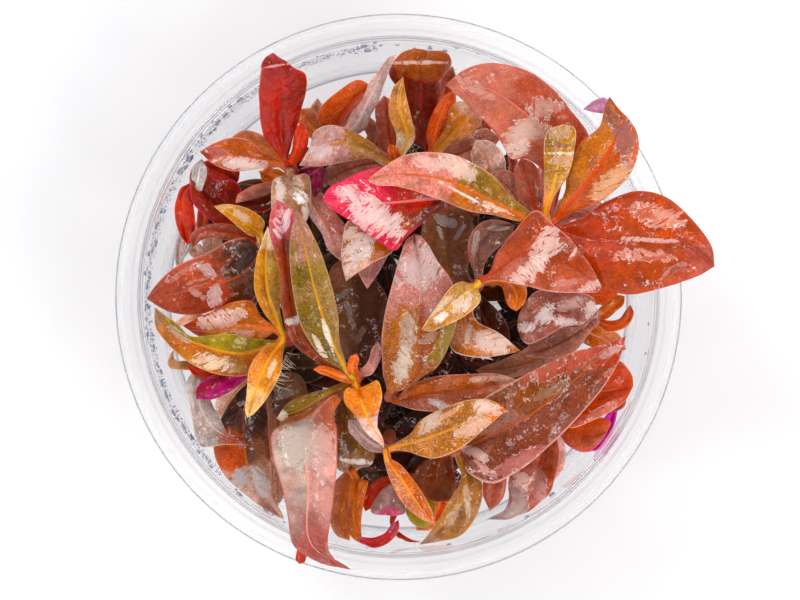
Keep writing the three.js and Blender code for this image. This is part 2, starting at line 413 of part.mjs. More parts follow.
// The leaves that stand out, each its own piece. The list runs round the cup by the shoot that bears them.
const leaves = [
  { name: "leaf_olive_long", colour: "olive",
    rib: [[-9.3, -12.7, 60.6], [-12.2, -6.5, 62.6], [-14.8, 2, 63.8], [-16.2, 8, 63.6], [-17.8, 15.1, 62]],
    one: [[-13.6, -10.4], [-16.9, -5.5], [-18.3, 0], [-19, 6.5], [-18.8, 11]],
      two: [[-10.2, -8.5], [-10.6, -3], [-12, 3], [-13.7, 8], [-15.8, 12.3]] },
  { name: "leaf_brown_long", colour: "brown",
    rib: [[-9.8, -13.8, 57.5], [-16.6, -8, 59], [-18.8, 1, 60.9], [-19.8, 9, 61.2], [-21.3, 16.9, 60]],
    one: [[-16.6, -10], [-19.6, -6], [-20.4, -1], [-20.9, 5], [-22.6, 11.5], [-22.4, 14.6]],
    two: [[-13.4, -10], [-16, -3], [-16.4, 4], [-16.2, 11], [-18.8, 15.4]] },
  { name: "leaf_olive_under_crown", colour: "olive",
    rib: [[-9.4, -15.6, 57.4], [-13, -17.3, 58.6], [-17, -19, 57.8], [-21.2, -20.4, 56]],
    one: [[-12.5, -18], [-16, -20.4], [-19.5, -21.3]], two: [[-11.5, -15.9], [-15, -17], [-18.5, -18]] },
  { name: "leaf_orange_heart", colour: "orange",
    rib: [[-7.1, -16.6, 59.8], [-6.3, -18.8, 61.6], [-5.2, -21.6, 60.4], [-3.6, -24.4, 58],
    [-2.5, -26.6, 56.8]],
    one: [[-3.8, -14.6], [-2.9, -17], [-3.5, -20], [-3.8, -22.4], [-2.7, -25]],
      two: [[-9.2, -16.2], [-9.4, -18.4], [-7.6, -21.4], [-5, -24.3]] },
  { name: "leaf_pale_pink_over_rim", colour: "rose",
    rib: [[-8.7, -15.4, 51], [-12.8, -18.4, 53], [-16.3, -24, 56.4], [-15.8, -33, 58.4], [-15.3, -43.3, 59],
    [-8.3, -47.9, 57.4]],
    one: [[-11.2, -20.4], [-10.7, -25], [-10.9, -31], [-11.8, -38.5], [-12.3, -44], [-11.2, -46.6]],
    two: [[-17, -20.6], [-21.9, -23.4], [-22, -28], [-20.2, -34], [-19.2, -40], [-18.4, -43.6],
      [-14.6, -46.3]] },
  { name: "leaf_orange_blade_below", colour: "orange",
    rib: [[-1.9, -28.8, 54.4], [0.5, -32, 56], [3.5, -36.5, 56], [6.3, -39.9, 54.6]],
    one: [[0.2, -29.4], [3.6, -33.5], [5.8, -37.5]], two: [[-1.7, -31.5], [0.6, -36], [3.8, -38.9]] },
  { name: "leaf_amber_below", colour: "amber",
    rib: [[-0.5, -26.4, 54.2], [4, -25.2, 57.4], [10, -22.9, 59.6], [15, -20.4, 60.2], [18.8, -19.8, 59.6]],
    one: [[1.8, -24.2], [4.5, -21.3], [9, -19.1], [14.5, -17.9], [17.2, -18.6]],
      two: [[2, -27.3], [6, -28.4], [10.5, -26.8], [14.8, -23.4], [17.6, -21]] },
  { name: "leaf_broad_centre", colour: "brown",
    rib: [[-1.4, -16.6, 51.2], [2.8, -13.8, 54], [3.7, -6, 57], [4.2, 1, 57.5], [2.6, 11, 55]],
    one: [[-2.7, -13], [-3, -8], [-2.4, -3], [-0.6, 4], [1.2, 9.6]],
      two: [[4, -14.6], [7, -12], [10.2, -4.5], [9.6, 2], [6.8, 6.3], [3.9, 10.6]] },
  { name: "leaf_rust_low_centre", colour: "rust",
    rib: [[-0.1, -18.4, 49.2], [5, -17.2, 51.4], [12, -16.4, 52], [21.5, -14.8, 51.6]],
    one: [[1.5, -16], [6, -14.1], [12, -13.6], [17.5, -13.6]],
      two: [[2, -19.6], [6, -20.2], [12, -19.6], [17.5, -17.5]] },
  { name: "leaf_amber_small", colour: "amber",
    rib: [[13.4, 1.6, 57.6], [10.8, -0.3, 60], [7.5, -3.2, 60.2], [4, -5.9, 59]],
    one: [[14.2, -1], [11.5, -3.5], [8, -5.2], [5.5, -6.1]],
      two: [[11.2, 2.6], [9.4, 1.8], [6.5, -2], [4.8, -4.5]] },
  { name: "leaf_rust_rhombic", colour: "rust",
    rib: [[16, 3.4, 57.4], [22, 7.3, 60], [28, 6.3, 61.4], [35.6, 1.6, 61]],
    one: [[17, 7.2], [20, 11], [24, 15.1], [27, 12.6], [30, 10], [33, 6.2]],
      two: [[18, 2.6], [21.5, 2], [27, 0.7], [32, 0.6], [34.8, 0.8]] },
  { name: "leaf_amber_upright", colour: "amber",
    rib: [[25.7, 14.6, 58.8], [27, 19, 62], [28.2, 25, 63.8], [28.8, 30, 64]],
    one: [[25.5, 18.5], [25.4, 24], [26, 28.8]], two: [[27, 17], [29.3, 20.5], [30.7, 25.5], [30.7, 29.3]] },
  { name: "leaf_orange_upright", colour: "rust",
    rib: [[28, 14, 57.4], [32, 19, 61], [36.5, 25, 63], [38.8, 30, 62.6], [36.9, 34.9, 60.6]],
    one: [[28.9, 18], [29.6, 22], [31.5, 26.5], [35.2, 29.8], [36, 33.2]],
      two: [[31.5, 15], [36.5, 17.4], [40.2, 21], [41.9, 25.5], [41.6, 28.6], [39.5, 31.5]],
    flap: { rib: [[37.2, 33.4, 61.2], [36, 33.6, 59.6], [34.2, 33.4, 58.4], [32.3, 32.8, 57.6]],
      shape: bladelet,
      one: [[36, 34.8], [34, 34.2]], two: [[36.4, 32], [34.3, 32.2]] } },
  { name: "leaf_over_rim", colour: "rust", rib: [[28.2, 11.7, 57], [33, 10.2, 58.6], [44, 9.6, 61],
    [51, 8.6, 60.4], [55.3, 5.2, 58.6]],
    one: [[32.5, 14], [36.5, 16.6], [41.5, 18.4], [46.8, 17.3], [51.5, 13.2], [54.8, 8.6]],
      two: [[31.4, 6.5], [35, 1.8], [40, 0.3], [46, 1.4], [52, 3.4]] },
  { name: "leaf_long_pink_olive", colour: "rose",
    rib: [[24.5, 12.8, 58.6], [16, 16.8, 60.6], [8, 20.3, 62.2], [0, 21.3, 62.2], [-5.6, 20.2, 61.2]],
    one: [[18, 13.9], [12, 15], [6, 17.3], [0, 19.1], [-3.5, 19.4]],
      two: [[20.5, 16.8], [16, 21.4], [11, 24.2], [5, 25.2], [0.5, 24.4], [-3, 22.2]] },
  { name: "leaf_big_pink_brown", colour: "rose",
    rib: [[26.8, 14.5, 55.8], [27.5, 21.5, 57.2], [25, 28.8, 58.8], [20.5, 33.3, 59.8], [15, 36.5, 60.4],
    [8.2, 37, 59.4]],
    one: [[26.4, 20.5], [23, 23.8], [19.8, 24], [17.3, 28], [12.8, 32.8]],
      two: [[29.2, 20.5], [33, 25.4], [33.4, 28], [30.2, 32.5], [27, 36.3], [22.3, 39.5], [16, 40.8],
      [11.5, 39.6]] },
  { name: "leaf_bright_pink", colour: "pink",
    rib: [[12.6, 17.8, 55.2], [5, 17, 57.6], [-4, 16.3, 58.6], [-13.4, 17, 58.2]],
    one: [[9, 15.8], [5, 13.6], [1.4, 10.2], [-0.5, 8], [-4, 10], [-8.5, 13.2], [-11.6, 15.2]],
      two: [[7, 20.5], [1, 22.6], [-5, 22.3], [-9.5, 20.4], [-12.3, 18.9]] },
  { name: "leaf_wet_crinkled", colour: "brown",
    rib: [[34.8, -2.9, 48.8], [30, -2, 52.4], [25, -3, 53.4], [20.8, -5.8, 52.4]],
    one: [[32.5, -4.8], [29, -5.3], [25, -7.6], [22.5, -8.3]],
      two: [[34, 0], [29, 1.2], [24, 0.8], [21.3, -2.8]] },
  { name: "leaf_big_right", colour: "rust",
    rib: [[11.2, -26.9, 52], [16, -24.6, 54.5], [23.5, -20.5, 56.5], [31, -14.5, 57.5], [39.8, -7, 57.5]],
    one: [[11.8, -23], [14.5, -18.3], [19.5, -15.2], [25.5, -12], [31, -9.6], [36, -8.4]],
      two: [[12.2, -30.8], [16.5, -32.8], [21, -30.6], [27, -25.7], [32.5, -20], [36.3, -15.3],
      [38.7, -11]] },
  { name: "leaf_orange_right_wing", colour: "orange",
    rib: [[28.9, -21.1, 47.2], [33, -17.5, 50.6], [41.3, -15.7, 51.4]],
    one: [[31.5, -14], [38.4, -11], [41, -13.6]], two: [[30, -23], [35, -21.4], [39.8, -18.4]] },
  { name: "leaf_brown_red_lower", colour: "brown",
    rib: [[27.1, -23.7, 44.3], [25, -29, 47.4], [23.4, -35, 48.6], [20, -39, 47.4], [15.6, -39.2, 47.6]],
    one: [[28.4, -27.5], [27.8, -31], [26.4, -35], [22.6, -37.6]], two: [[21, -27], [19.4, -32], [19, -37]] },
  { name: "leaf_olive_lower", colour: "olive",
    rib: [[10.6, -28.4, 47], [12, -34, 49.6], [9, -39, 50.4], [3.7, -43.6, 50]],
    one: [[14.6, -32.5], [14, -38], [11, -42], [7, -43.1]], two: [[11, -32], [8.8, -36], [6.3, -40.5]] },
  { name: "leaf_orange_twisted", colour: "orange",
    rib: [[-7.3, -32.3, 47.6], [-7.6, -35, 49.4], [-7.9, -39, 50.4], [-6.2, -43.5, 50.2]],
    one: [[-5.4, -32.5], [-6.2, -36.5], [-6.6, -41]],
      two: [[-8.5, -33.2], [-8.8, -36.5], [-9.2, -40.3], [-8, -42.6]],
    flap: strand([[-6.5, -42.8, 50.2], [-4.6, -43.3, 51.4], [-1.6, -42, 52.4], [0, -39.2, 52.6]], 1.9) },
  { name: "leaf_translucent_brown", colour: "brown",
    rib: [[-26, -15, 45.6], [-27.2, -21, 47], [-26.8, -29, 48.2], [-24.5, -35.2, 48.2], [-20.2, -39.2, 47]],
    one: [[-28.6, -17], [-31.2, -21], [-32.6, -27], [-30.6, -31.5], [-26, -35.6], [-22.6, -38]],
      two: [[-23.4, -18], [-22.7, -25], [-22.3, -31], [-22.3, -35], [-20.8, -38]] },
  { name: "leaf_silver_wilted", colour: "grey",
    rib: [[-27.9, -13.5, 46.4], [-35, -14, 48.4], [-35, -19, 49.6], [-32.5, -23, 51.4], [-25.8, -26.2, 52.4]],
    one: [[-33, -15.5], [-32.6, -19], [-31, -22], [-29, -24.8]],
      two: [[-34, -12], [-37.2, -14.5], [-36.4, -20.5], [-35, -26.3], [-30.5, -26]] },
  { name: "leaf_ochre_down", colour: "orange",
    rib: [[-20.6, -8.4, 55.4], [-23, -11.6, 58.2], [-24.8, -16, 59], [-26.5, -21.3, 57]],
    one: [[-20.3, -10.4], [-20.5, -13], [-22.5, -17], [-25, -20.3]],
      two: [[-23.8, -9.4], [-26, -12.3], [-26.5, -16], [-26.8, -19.8]] },
  { name: "leaf_yellow_olive_left", colour: "olive",
    rib: [[-21.8, -8.3, 51.8], [-28, -10, 54.6], [-35, -8.3, 54.9], [-40, -5.6, 53.4], [-42.9, -1.9, 51]],
    one: [[-26, -13.6], [-31, -13.8], [-36, -12], [-40, -8.9], [-42.7, -5.2]],
      two: [[-25.5, -7.3], [-30, -6.5], [-36, -6.9], [-38.5, -5.3], [-41, -3.2]] },
  { name: "leaf_orange_pink_left", colour: "orange",
    rib: [[-21.9, -5.7, 53], [-27, -5, 51.9], [-33, -5.6, 51.2], [-38, -5.1, 50.2]],
    one: [[-25, -8], [-30, -8], [-35, -7]], two: [[-24.5, -3.2], [-25.5, -1], [-29, -0.9], [-33.5, -2.9]] },
  { name: "leaf_amber_left", colour: "amber",
    rib: [[-20.9, -5.3, 55.2], [-22.9, 1, 57.2], [-23.3, 6, 57.4], [-22.9, 12.3, 56]],
    one: [[-23.5, -3], [-25.2, 1], [-25, 6], [-24, 9.5]],
      two: [[-20.8, -1.8], [-20.2, 1.5], [-21, 5.4], [-22, 9]] },
  { name: "leaf_big_brown_red_left", colour: "rust",
    rib: [[-24.6, 7.8, 46.4], [-28, 3.8, 49], [-36, 1.3, 51], [-44.3, -0.4, 51.6]],
    one: [[-25.4, -0.4], [-31, -1.8], [-35.5, -3.2], [-40.5, -2.6]],
      two: [[-27, 10.4], [-30, 9.8], [-34, 7.6], [-39, 5.4], [-43, 1.7]] },
  { name: "leaf_ochre_upper_left", colour: "amber",
    rib: [[-24.6, 11.3, 46.6], [-26.6, 12.7, 48.8], [-30, 15, 49.6], [-32.6, 16, 49.2]],
    one: [[-26.3, 10.8], [-29.8, 13.7]], two: [[-23.6, 13.2], [-26.2, 15.4], [-30, 16.3]] },
  { name: "leaf_dark_red_cupped", colour: "red",
    rib: [[-24.9, 10.9, 41.4], [-30.5, 15.5, 41.6], [-34.8, 19.4, 44.4], [-35.3, 22.2, 47.2],
    [-34.6, 24.3, 49.2]],
    one: [[-29, 10.8, 42], [-33.5, 13.8, 43.4], [-36.2, 17, 45], [-37, 20.2, 46.4], [-36.6, 22.4, 48]],
      two: [[-26.6, 16, 42], [-29, 20.6, 43.4], [-33, 21, 45.6], [-33.5, 22.6, 48]] },
  { name: "leaf_tall_red", colour: "red", rib: [[-20.1, 24.7, 48.8], [-20.8, 31, 52.6], [-20.6, 37, 58.4],
    [-21.2, 40.3, 60.4], [-22, 42.7, 58.6]],
    one: [[-23.6, 28], [-24.4, 33], [-24.3, 37.5], [-23.8, 41]],
      two: [[-18.4, 28], [-16.8, 34], [-16.1, 38.5], [-18.6, 40.3]], lift: [1, 1] },
  { name: "leaf_amber_pink_left", colour: "orange",
    rib: [[-21.1, 23.5, 46.8], [-24.5, 24, 49], [-30, 24.9, 50], [-35, 25.5, 50.6]],
    one: [[-24.5, 22.6], [-29, 22.1], [-32.6, 23.4]],
      two: [[-23.6, 25.4], [-26.5, 27.6], [-29.5, 28], [-33, 26.8]] },
  { name: "leaf_white_glint", colour: "brown",
    rib: [[-18.9, 21, 48.4], [-18.6, 18, 51], [-18.6, 15, 51.4], [-18.3, 11.5, 49]],
    one: [[-15.8, 21.2], [-15.4, 18], [-15.8, 14.5]], two: [[-21.8, 20.8], [-22.4, 17.5], [-21.8, 14]] },
  { name: "leaf_twisted_pale", colour: "rose",
    rib: [[-2.3, 23.7, 47.4], [-6, 26, 50.6], [-11, 27, 52.4], [-17.5, 23, 53.2]],
    one: [[-4, 26.8], [-8.5, 29.1], [-12, 30.2], [-14.8, 29], [-15.7, 26.2]],
      two: [[-5, 24.3], [-10, 23.6], [-14, 22.9]] },
  { name: "leaf_orange_red_top", colour: "rust",
    rib: [[-11.5, 29.6, 42.6], [-9.5, 32.5, 45.4], [-6.5, 35.8, 48], [-4.2, 36.8, 47.6]],
    one: [[-14.2, 31], [-13.5, 33.8], [-10.8, 36.2], [-7, 38.3]],
      two: [[-9, 30], [-6.2, 32.5], [-4.9, 34.8]] },
  { name: "leaf_folded_top", colour: "rust",
    rib: [[4.5, 26.7, 43.8], [4, 32, 45], [4, 38, 49], [4, 41.2, 51.4], [5, 43.4, 50.4]],
    one: [[1.2, 28], [0.6, 33], [-0.3, 37], [-1.7, 39.7], [-0.2, 42.3], [2, 43.5]],
      two: [[7, 28], [7.2, 34], [7.4, 38], [9.2, 40.2], [8.7, 42.8]] },
];

const plant = new THREE.Group();

function add(name, geometry, look) {
  const mesh = new THREE.Mesh(geometry, look);
  mesh.name = name;
  plant.add(mesh);
}

add("cup", cupGeometry(), material("clear", 0.08, 0.3));
add("gel_medium", gelGeometry(shoots), material("gel", 0.2, 0.5));

for (const { name, route, radius, small, low } of shoots) {
  let shoot = solidFrom(stalkGeometry(route, radius));
  const borne = [...small, ...low.map((leaf) => leafLowOnStem(route, leaf))];
  for (const leaf of borne) shoot = shoot.add(solidFrom(leafGeometry(leaf)));
  add(name, geometryFrom(shoot), material("stem", 0.4));
}

for (const leaf of leaves) {
  let body = solidFrom(leafGeometry(leaf));
  if (leaf.flap) body = body.add(solidFrom(leafGeometry(leaf.flap)));
  add(leaf.name, geometryFrom(body), material(leaf.colour, 0.3));
}

export default plant;
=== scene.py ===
# Mini Alternanthera reineckii, a red aquarium plant, in a clear tissue culture cup, seen from above.
# The lists of stems and leaves are in millimetres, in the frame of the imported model. Blender is in metres.
import json
import math
import random
from functools import partial
import bmesh
import bpy
import numpy as np
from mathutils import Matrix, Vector, noise


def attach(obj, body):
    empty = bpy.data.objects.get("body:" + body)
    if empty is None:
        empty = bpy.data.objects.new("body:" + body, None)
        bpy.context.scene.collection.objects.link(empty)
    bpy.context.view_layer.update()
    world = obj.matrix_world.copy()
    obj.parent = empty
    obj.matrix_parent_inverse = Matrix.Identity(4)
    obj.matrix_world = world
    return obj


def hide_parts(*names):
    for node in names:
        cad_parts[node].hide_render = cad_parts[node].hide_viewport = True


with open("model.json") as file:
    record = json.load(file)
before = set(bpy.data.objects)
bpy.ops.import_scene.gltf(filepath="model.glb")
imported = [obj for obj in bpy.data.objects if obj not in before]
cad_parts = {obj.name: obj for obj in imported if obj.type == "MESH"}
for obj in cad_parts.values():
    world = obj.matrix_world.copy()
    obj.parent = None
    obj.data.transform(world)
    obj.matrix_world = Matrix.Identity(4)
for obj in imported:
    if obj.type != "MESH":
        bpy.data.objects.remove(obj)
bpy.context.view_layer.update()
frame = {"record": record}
scene = bpy.context.scene
mm = 0.001

# Each shoot: its route from the gel upwards; its low old leaves by height, direction in degrees and length;
# its small leaves by look and midrib, with either both margins or a width, and how far the margins lift.
shoots = {
    "shoot_centre": {
        "route": [(-4.5, -11, 7), (-5.6, -12, 25), (-7, -13.5, 45), (-7.7, -14.6, 60.3)], "radius": 1.5,
        "low": [(19, 60, 13), (31, 120, 13)],
        "small": [
            {"look": "crown",
             "rib": [(-7.7, -14.8, 59.6), (-10.5, -13.9, 61), (-13, -12.9, 61), (-14.9, -12.8, 60.4)],
             "width": 1.7},
            {"look": "crown", "rib": [(-7.5, -14.4, 59.6), (-8.1, -12.4, 61.7), (-7.3, -10, 61.6)],
             "width": 1.9},
            {"look": "rosePale",
             "rib": [(-6.9, -13.6, 48.5), (-4.7, -12.3, 50.5), (-4, -10, 51), (-3.5, -8, 50.5)], "width": 2},
            {"look": "darkHollow", "rib": [(-6.8, -13, 42), (-7, -6, 45), (-8, 2, 46), (-9, 7.5, 45)],
             "one": [(-11.5, -7), (-12.6, 0), (-12, 5)], "two": [(-2.8, -7), (-2, 0), (-5.4, 4.4)]}]},
    "shoot_below": {
        "route": [(-1, -22, 7), (-1.5, -24, 30), (-2.2, -26.9, 54.3)], "radius": 1.4,
        "low": [(22, 40, 12), (35, 150, 12)],
        "small": [
            {"look": "mauvePale", "rib": [(-2.2, -26.9, 53.4), (-5.2, -25.4, 54), (-8.8, -21.6, 53.8)],
             "width": 2.8}]},
    "shoot_mid_right": {
        "route": [(12, -1, 7), (13, 1, 30), (14.3, 2.6, 56.8)], "radius": 1.5,
        "low": [(18, 100, 14), (33, 200, 14)],
        "small": [
            {"look": "orangeSmall",
             "rib": [(14.1, 2.4, 50.5), (18.5, 2.8, 53), (20.6, 0.6, 54.8), (20.7, -2.6, 54.6)],
             "one": [(18, 4.2), (22.3, 2), (22.2, -1)], "two": [(17.5, 2), (18.6, 0.5), (19.4, -1.8)]},
            {"look": "darkOlive", "rib": [(13.2, 1.3, 41), (9.5, 4, 44), (8.6, 10, 46), (9.5, 18, 45)],
             "one": [(6, 4), (3.8, 10), (5.5, 15.5)], "two": [(12.2, 5.5), (13.4, 10), (12.4, 15)]},
            {"look": "rustPale",
             "rib": [(13.6, 1.6, 47.6), (11.8, -3, 51.6), (13, -6.8, 53.4), (17, -8, 54.2), (21.5, -9.5, 53)],
             "one": [(13.6, -0.6), (13.6, -4.1), (17.5, -6.3)],
             "two": [(10.4, -2), (8.8, -6), (9.4, -9.4), (13.5, -10.7), (18, -10.3)]},
            {"look": "mauveBrown",
             "rib": [(14.2, 2.6, 49.5), (14, 8, 51.5), (17, 12, 53), (20.3, 12.6, 52.5)],
             "one": [(12.5, 6.5), (12.2, 10), (14.5, 12.9), (17.5, 13.6)],
             "two": [(15.5, 6.5), (18.5, 9.5), (20, 11.2)], "lift": (1.5, 1.5)}]},
    "shoot_top_right": {
        "route": [(22, 9, 7), (24, 11, 30), (26.3, 12.6, 58)], "radius": 1.6,
        "low": [(21, 250, 12), (36, 330, 12)],
        "small": [
            {"look": "redDeep",
             "rib": [(26, 12.4, 51.5), (23.8, 16, 53.5), (22.8, 20, 54.6), (21.5, 24.3, 54.4)],
             "one": [(21.5, 16), (20.5, 20), (20.3, 22.5)], "two": [(25.3, 17), (25.2, 20.5), (23.6, 23.5)]},
            {"look": "darkWet", "rib": [(25.8, 12.3, 49), (22, 16, 51), (19.5, 19, 52.2), (16.3, 22, 52.4)],
             "one": [(20, 14.5), (17.3, 17.5), (16, 20)], "two": [(23.5, 17), (21.5, 20.5), (19, 22.3)]}]},
    "shoot_left": {
        "route": [(-15, -5, 7), (-16.5, -6, 30), (-19.2, -7.6, 46), (-20.3, -6.7, 55)], "radius": 1.4,
        "low": [(24, 100, 12), (38, 180, 12)],
        "small": []},
    "shoot_low_centre": {
        "route": [(0, -15, 7), (-0.5, -16, 30), (-1.8, -17.8, 50.5)], "radius": 1.3,
        "low": [(27, 340, 13), (37, 30, 13)],
        "small": []},
    "shoot_upper_left": {
        "route": [(-15, 17, 7), (-16.5, 19, 30), (-19.3, 23.2, 48.6)], "radius": 1.5,
        "low": [(20, 215, 12), (33, 340, 12)],
        "small": [
            {"look": "redBright", "rib": [(-19.2, 23.2, 48), (-17.7, 27, 54), (-16.8, 30.6, 55)],
             "one": [(-18.5, 26.2), (-18.1, 29.6)], "two": [(-16.3, 25.5), (-15.8, 28.5)]},
            {"look": "tube",
             "rib": [(-18.6, 22.2, 43.4), (-22.5, 18.3, 43.6), (-25.5, 17.2, 43.6), (-28.8, 16.6, 44.6)],
             "one": [(-22.5, 15.8), (-26.5, 15.2)], "two": [(-23, 19.9), (-26, 19.6), (-28.2, 18.4)],
             "lift": (1, 4)},
            {"look": "rustGlint",
             "rib": [(-18.3, 21.8, 42.5), (-15, 16.5, 47), (-12.3, 11.5, 49.5), (-9.6, 6.2, 49.5)],
             "one": [(-15.9, 15.5), (-13.2, 10), (-10.8, 6.8)],
             "two": [(-12, 16.5), (-9.5, 12.5), (-8.2, 8.5)]},
            {"look": "orangeBrown",
             "rib": [(-18.4, 21.8, 40.5), (-23, 26.5, 40.5), (-26.5, 28.2, 41), (-29.5, 28.4, 41)],
             "width": 3}]},
    "shoot_upper": {
        "route": [(0, 20, 7), (-0.2, 22, 30), (-0.3, 24, 48)], "radius": 1.4,
        "low": [(25, 272, 12), (34, 100, 11)],
        "small": [
            {"look": "amberYoung",
             "rib": [(-0.3, 24, 46.8), (1.6, 28, 49.5), (0.2, 33, 51.5), (0.8, 38.7, 52.5)],
             "one": [(-0.4, 28), (-1.7, 32.5), (-1.1, 36.5)], "two": [(2.8, 28), (2.4, 31), (1.3, 35.5)]},
            {"look": "crown", "rib": [(-0.4, 24, 46.6), (-0.9, 25.4, 49.4), (-1.5, 26.8, 49.8)], "width": 2},
            {"look": "darkWet",
             "rib": [(-0.4, 23.8, 43), (-5, 23.6, 45.5), (-9.5, 22.2, 47), (-13.3, 20, 46.5)], "width": 5},
            {"look": "redDeep", "rib": [(-0.3, 23.9, 38), (-1.6, 28, 40), (-2, 32, 41), (-2.6, 35.8, 41)],
             "width": 4.4}]},
    "shoot_upper_right": {
        "route": [(7, 20, 7), (6.6, 22, 28), (6, 25.2, 45.5)], "radius": 1.4,
        "low": [(18, 345, 11), (30, 40, 12)],
        "small": [
            {"look": "redOrange", "rib": [(6, 25.2, 44.3), (6.8, 30, 47.5), (8.2, 33.5, 50), (9.6, 36.2, 52)],
             "one": [(5, 29), (6, 32.5), (8, 35.3)], "two": [(7, 28.5), (9, 32), (10.2, 34.8)]},
            {"look": "oliveBeige",
             "rib": [(6.2, 25.2, 44.8), (9.5, 28.6, 49), (11.8, 31.5, 51), (14, 34, 51.8)],
             "one": [(7.8, 29.2), (10, 34.2)], "two": [(10.6, 27.6), (14.6, 30.6)]},
            {"look": "darkWet", "rib": [(6.3, 24.6, 39), (11, 25.5, 43), (14, 26.8, 44.5), (18, 28, 44.5)],
             "one": [(10, 23.2), (15, 24.3)], "two": [(10.5, 28.2), (15.5, 29.8)]}]},
    "shoot_lower_right": {
        "route": [(7, -22, 7), (8, -24, 30), (9.5, -27.4, 51.5)], "radius": 1.4,
        "low": [(24, 100, 13), (34, 262, 10)],
        "small": [
            {"look": "oliveDeep", "rib": [(9, -26.6, 43), (7, -30, 44), (7, -33, 44.5), (9.6, -36, 44)],
             "one": [(3, -30.5), (2.8, -33.5), (6, -36)], "two": [(9.5, -29.5), (10.2, -33)]}]},
    "shoot_right": {
        "route": [(26, -3, 7), (29, -3, 28), (35, -4.2, 48)], "radius": 1.4,
        "low": [(20, 190, 13), (29, 260, 12)],
        "small": [
            {"look": "redOrange",
             "rib": [(35, -4.2, 46.8), (38, -5.2, 48), (40.3, -3.8, 48.6), (40.8, -1.4, 49)], "width": 2},
            {"look": "orangeSmall", "rib": [(34.8, -4, 46), (37, -2.2, 46.6), (39.9, 0.2, 47)], "width": 2.4},
            {"look": "darkWet",
             "rib": [(34.6, -4.2, 46.4), (29.5, -7.6, 48.8), (25.5, -9.4, 48.8), (21.5, -10.5, 48)],
             "one": [(31, -9.6), (27.5, -10.8)], "two": [(32, -5.1), (28, -5.7), (24, -8.1)]},
            {"look": "brownDeep",
             "rib": [(32.2, -3.6, 38), (27, -9.5, 42.5), (21, -12.1, 45.3), (13.5, -13, 45.5)],
             "one": [(29, -11), (23, -13.8), (17.5, -14.2)], "two": [(26, -6), (20.5, -10.3), (16, -11.8)]}]},
    "shoot_far_right": {
        "route": [(22, -19, 7), (24, -20, 28), (28.3, -22.3, 46.5)], "radius": 1.4,
        "low": [(17, 240, 12), (32, 120, 13)],
        "small": [
            {"look": "magentaEdge", "rib": [(28.2, -22.2, 44.8), (33, -24.1, 46.3), (36.9, -23.6, 46.3)],
             "one": [(31.5, -21.7), (35.5, -21.2), (37.5, -22)],
             "two": [(29.7, -26), (33.3, -27.4), (35.9, -25.3)]},
            {"look": "redDeep",
             "rib": [(28, -21.8, 44), (34, -19.6, 45.2), (38, -19.6, 46), (40.3, -17.6, 47.5)],
             "width": 2.2}]},
    "shoot_far_left": {
        "route": [(-20, -10, 7), (-22, -12, 28), (-26.3, -13.2, 49.5)], "radius": 1.4,
        "low": [(29, 250, 12), (36, 0, 12)],
        "small": [
            {"look": "magenta", "rib": [(-26.2, -13.2, 48.6), (-31, -15.4, 51), (-35.6, -18, 51.2)],
             "one": [(-29.5, -16.5), (-32.5, -18)], "two": [(-29, -13.2), (-33, -14), (-35.5, -16)]},
            {"look": "tanLoop",
             "rib": [(-25.6, -12.9, 44.4), (-32, -11.4, 45.4), (-38.5, -12.3, 46.8), (-40.3, -11.3, 47.6),
                     (-39.6, -9.4, 48.4)], "width": 2},
            {"look": "brownShade",
             "rib": [(-24.6, -12.8, 41), (-20.5, -16, 45), (-18.5, -19, 46), (-17.5, -23, 45.5)],
             "one": [(-22, -17), (-22.2, -20.5)], "two": [(-17.5, -14), (-15.8, -17.5), (-15.8, -21)]}]},
    "shoot_left_upper": {
        "route": [(-18, 8, 7), (-21, 9, 28), (-24.3, 9.6, 46.3)], "radius": 1.4,
        "low": [(17, 190, 13), (35, 290, 13)],
        "small": [
            {"look": "redDeep",
             "rib": [(-23.9, 9.6, 43.5), (-30, 11.4, 45), (-35, 11.4, 46), (-36.4, 8.6, 45.2)],
             "width": 2.8}]},
    "shoot_top_left": {
        "route": [(-9, 22, 7), (-10.5, 25, 25), (-12.4, 28.2, 42.5)], "radius": 1.3,
        "low": [(22, 180, 11), (31, 320, 11)],
        "small": [
            {"look": "orangeBrown", "rib": [(-12.2, 28, 38.5), (-15, 30.5, 39.5), (-17.4, 33.4, 40)],
             "width": 4},
            {"look": "silver",
             "rib": [(-12.2, 28, 41.6), (-8, 29.8, 48), (-5.6, 33.8, 50.6), (-2.6, 40.2, 52.2),
                     (-0.4, 42.6, 53)], "one": [(-9.6, 30), (-7.4, 33.6), (-4.4, 38.6), (-1.8, 42)],
             "two": [(-6, 30), (-4, 33.8), (-2.4, 37.4), (-1.6, 40)]}]},
    "shoot_bottom": {
        "route": [(3, -29, 7), (1.5, -31, 25), (0.5, -32.5, 41)], "radius": 1.3,
        "low": [(19, 340, 12), (30, 200, 11)],
        "small": [
            {"look": "greyMauve", "rib": [(0.4, -32.5, 40), (-1.4, -35, 42), (-1.2, -38.7, 42.5)],
             "one": [(0.6, -35), (1.2, -38.1)], "two": [(-3.3, -34.5), (-4.9, -38)]},
            {"look": "redBright", "rib": [(0.2, -32.4, 38.5), (-4, -34, 39.5), (-5.9, -37.9, 40)],
             "width": 2.8},
            {"look": "oliveYellow",
             "rib": [(0.6, -32.6, 39.6), (3.8, -35.5, 41.5), (4, -38, 42), (4.2, -40.9, 41.5)],
             "one": [(5.4, -34.5), (6.5, -37.5), (6, -40)], "two": [(1.6, -36), (1.3, -38), (2.4, -40)]}]},
    "shoot_wall_left": {
        "route": [(-31, 11, 7), (-34, 16, 28), (-36.2, 20, 42.5)], "radius": 1.2, "low": [(27, 20, 11)],
        "small": [
            {"look": "redBright",
             "rib": [(-36.2, 20, 41.6), (-37.9, 18.5, 43.2), (-38, 14, 43.2), (-37.3, 9.2, 41.5)],
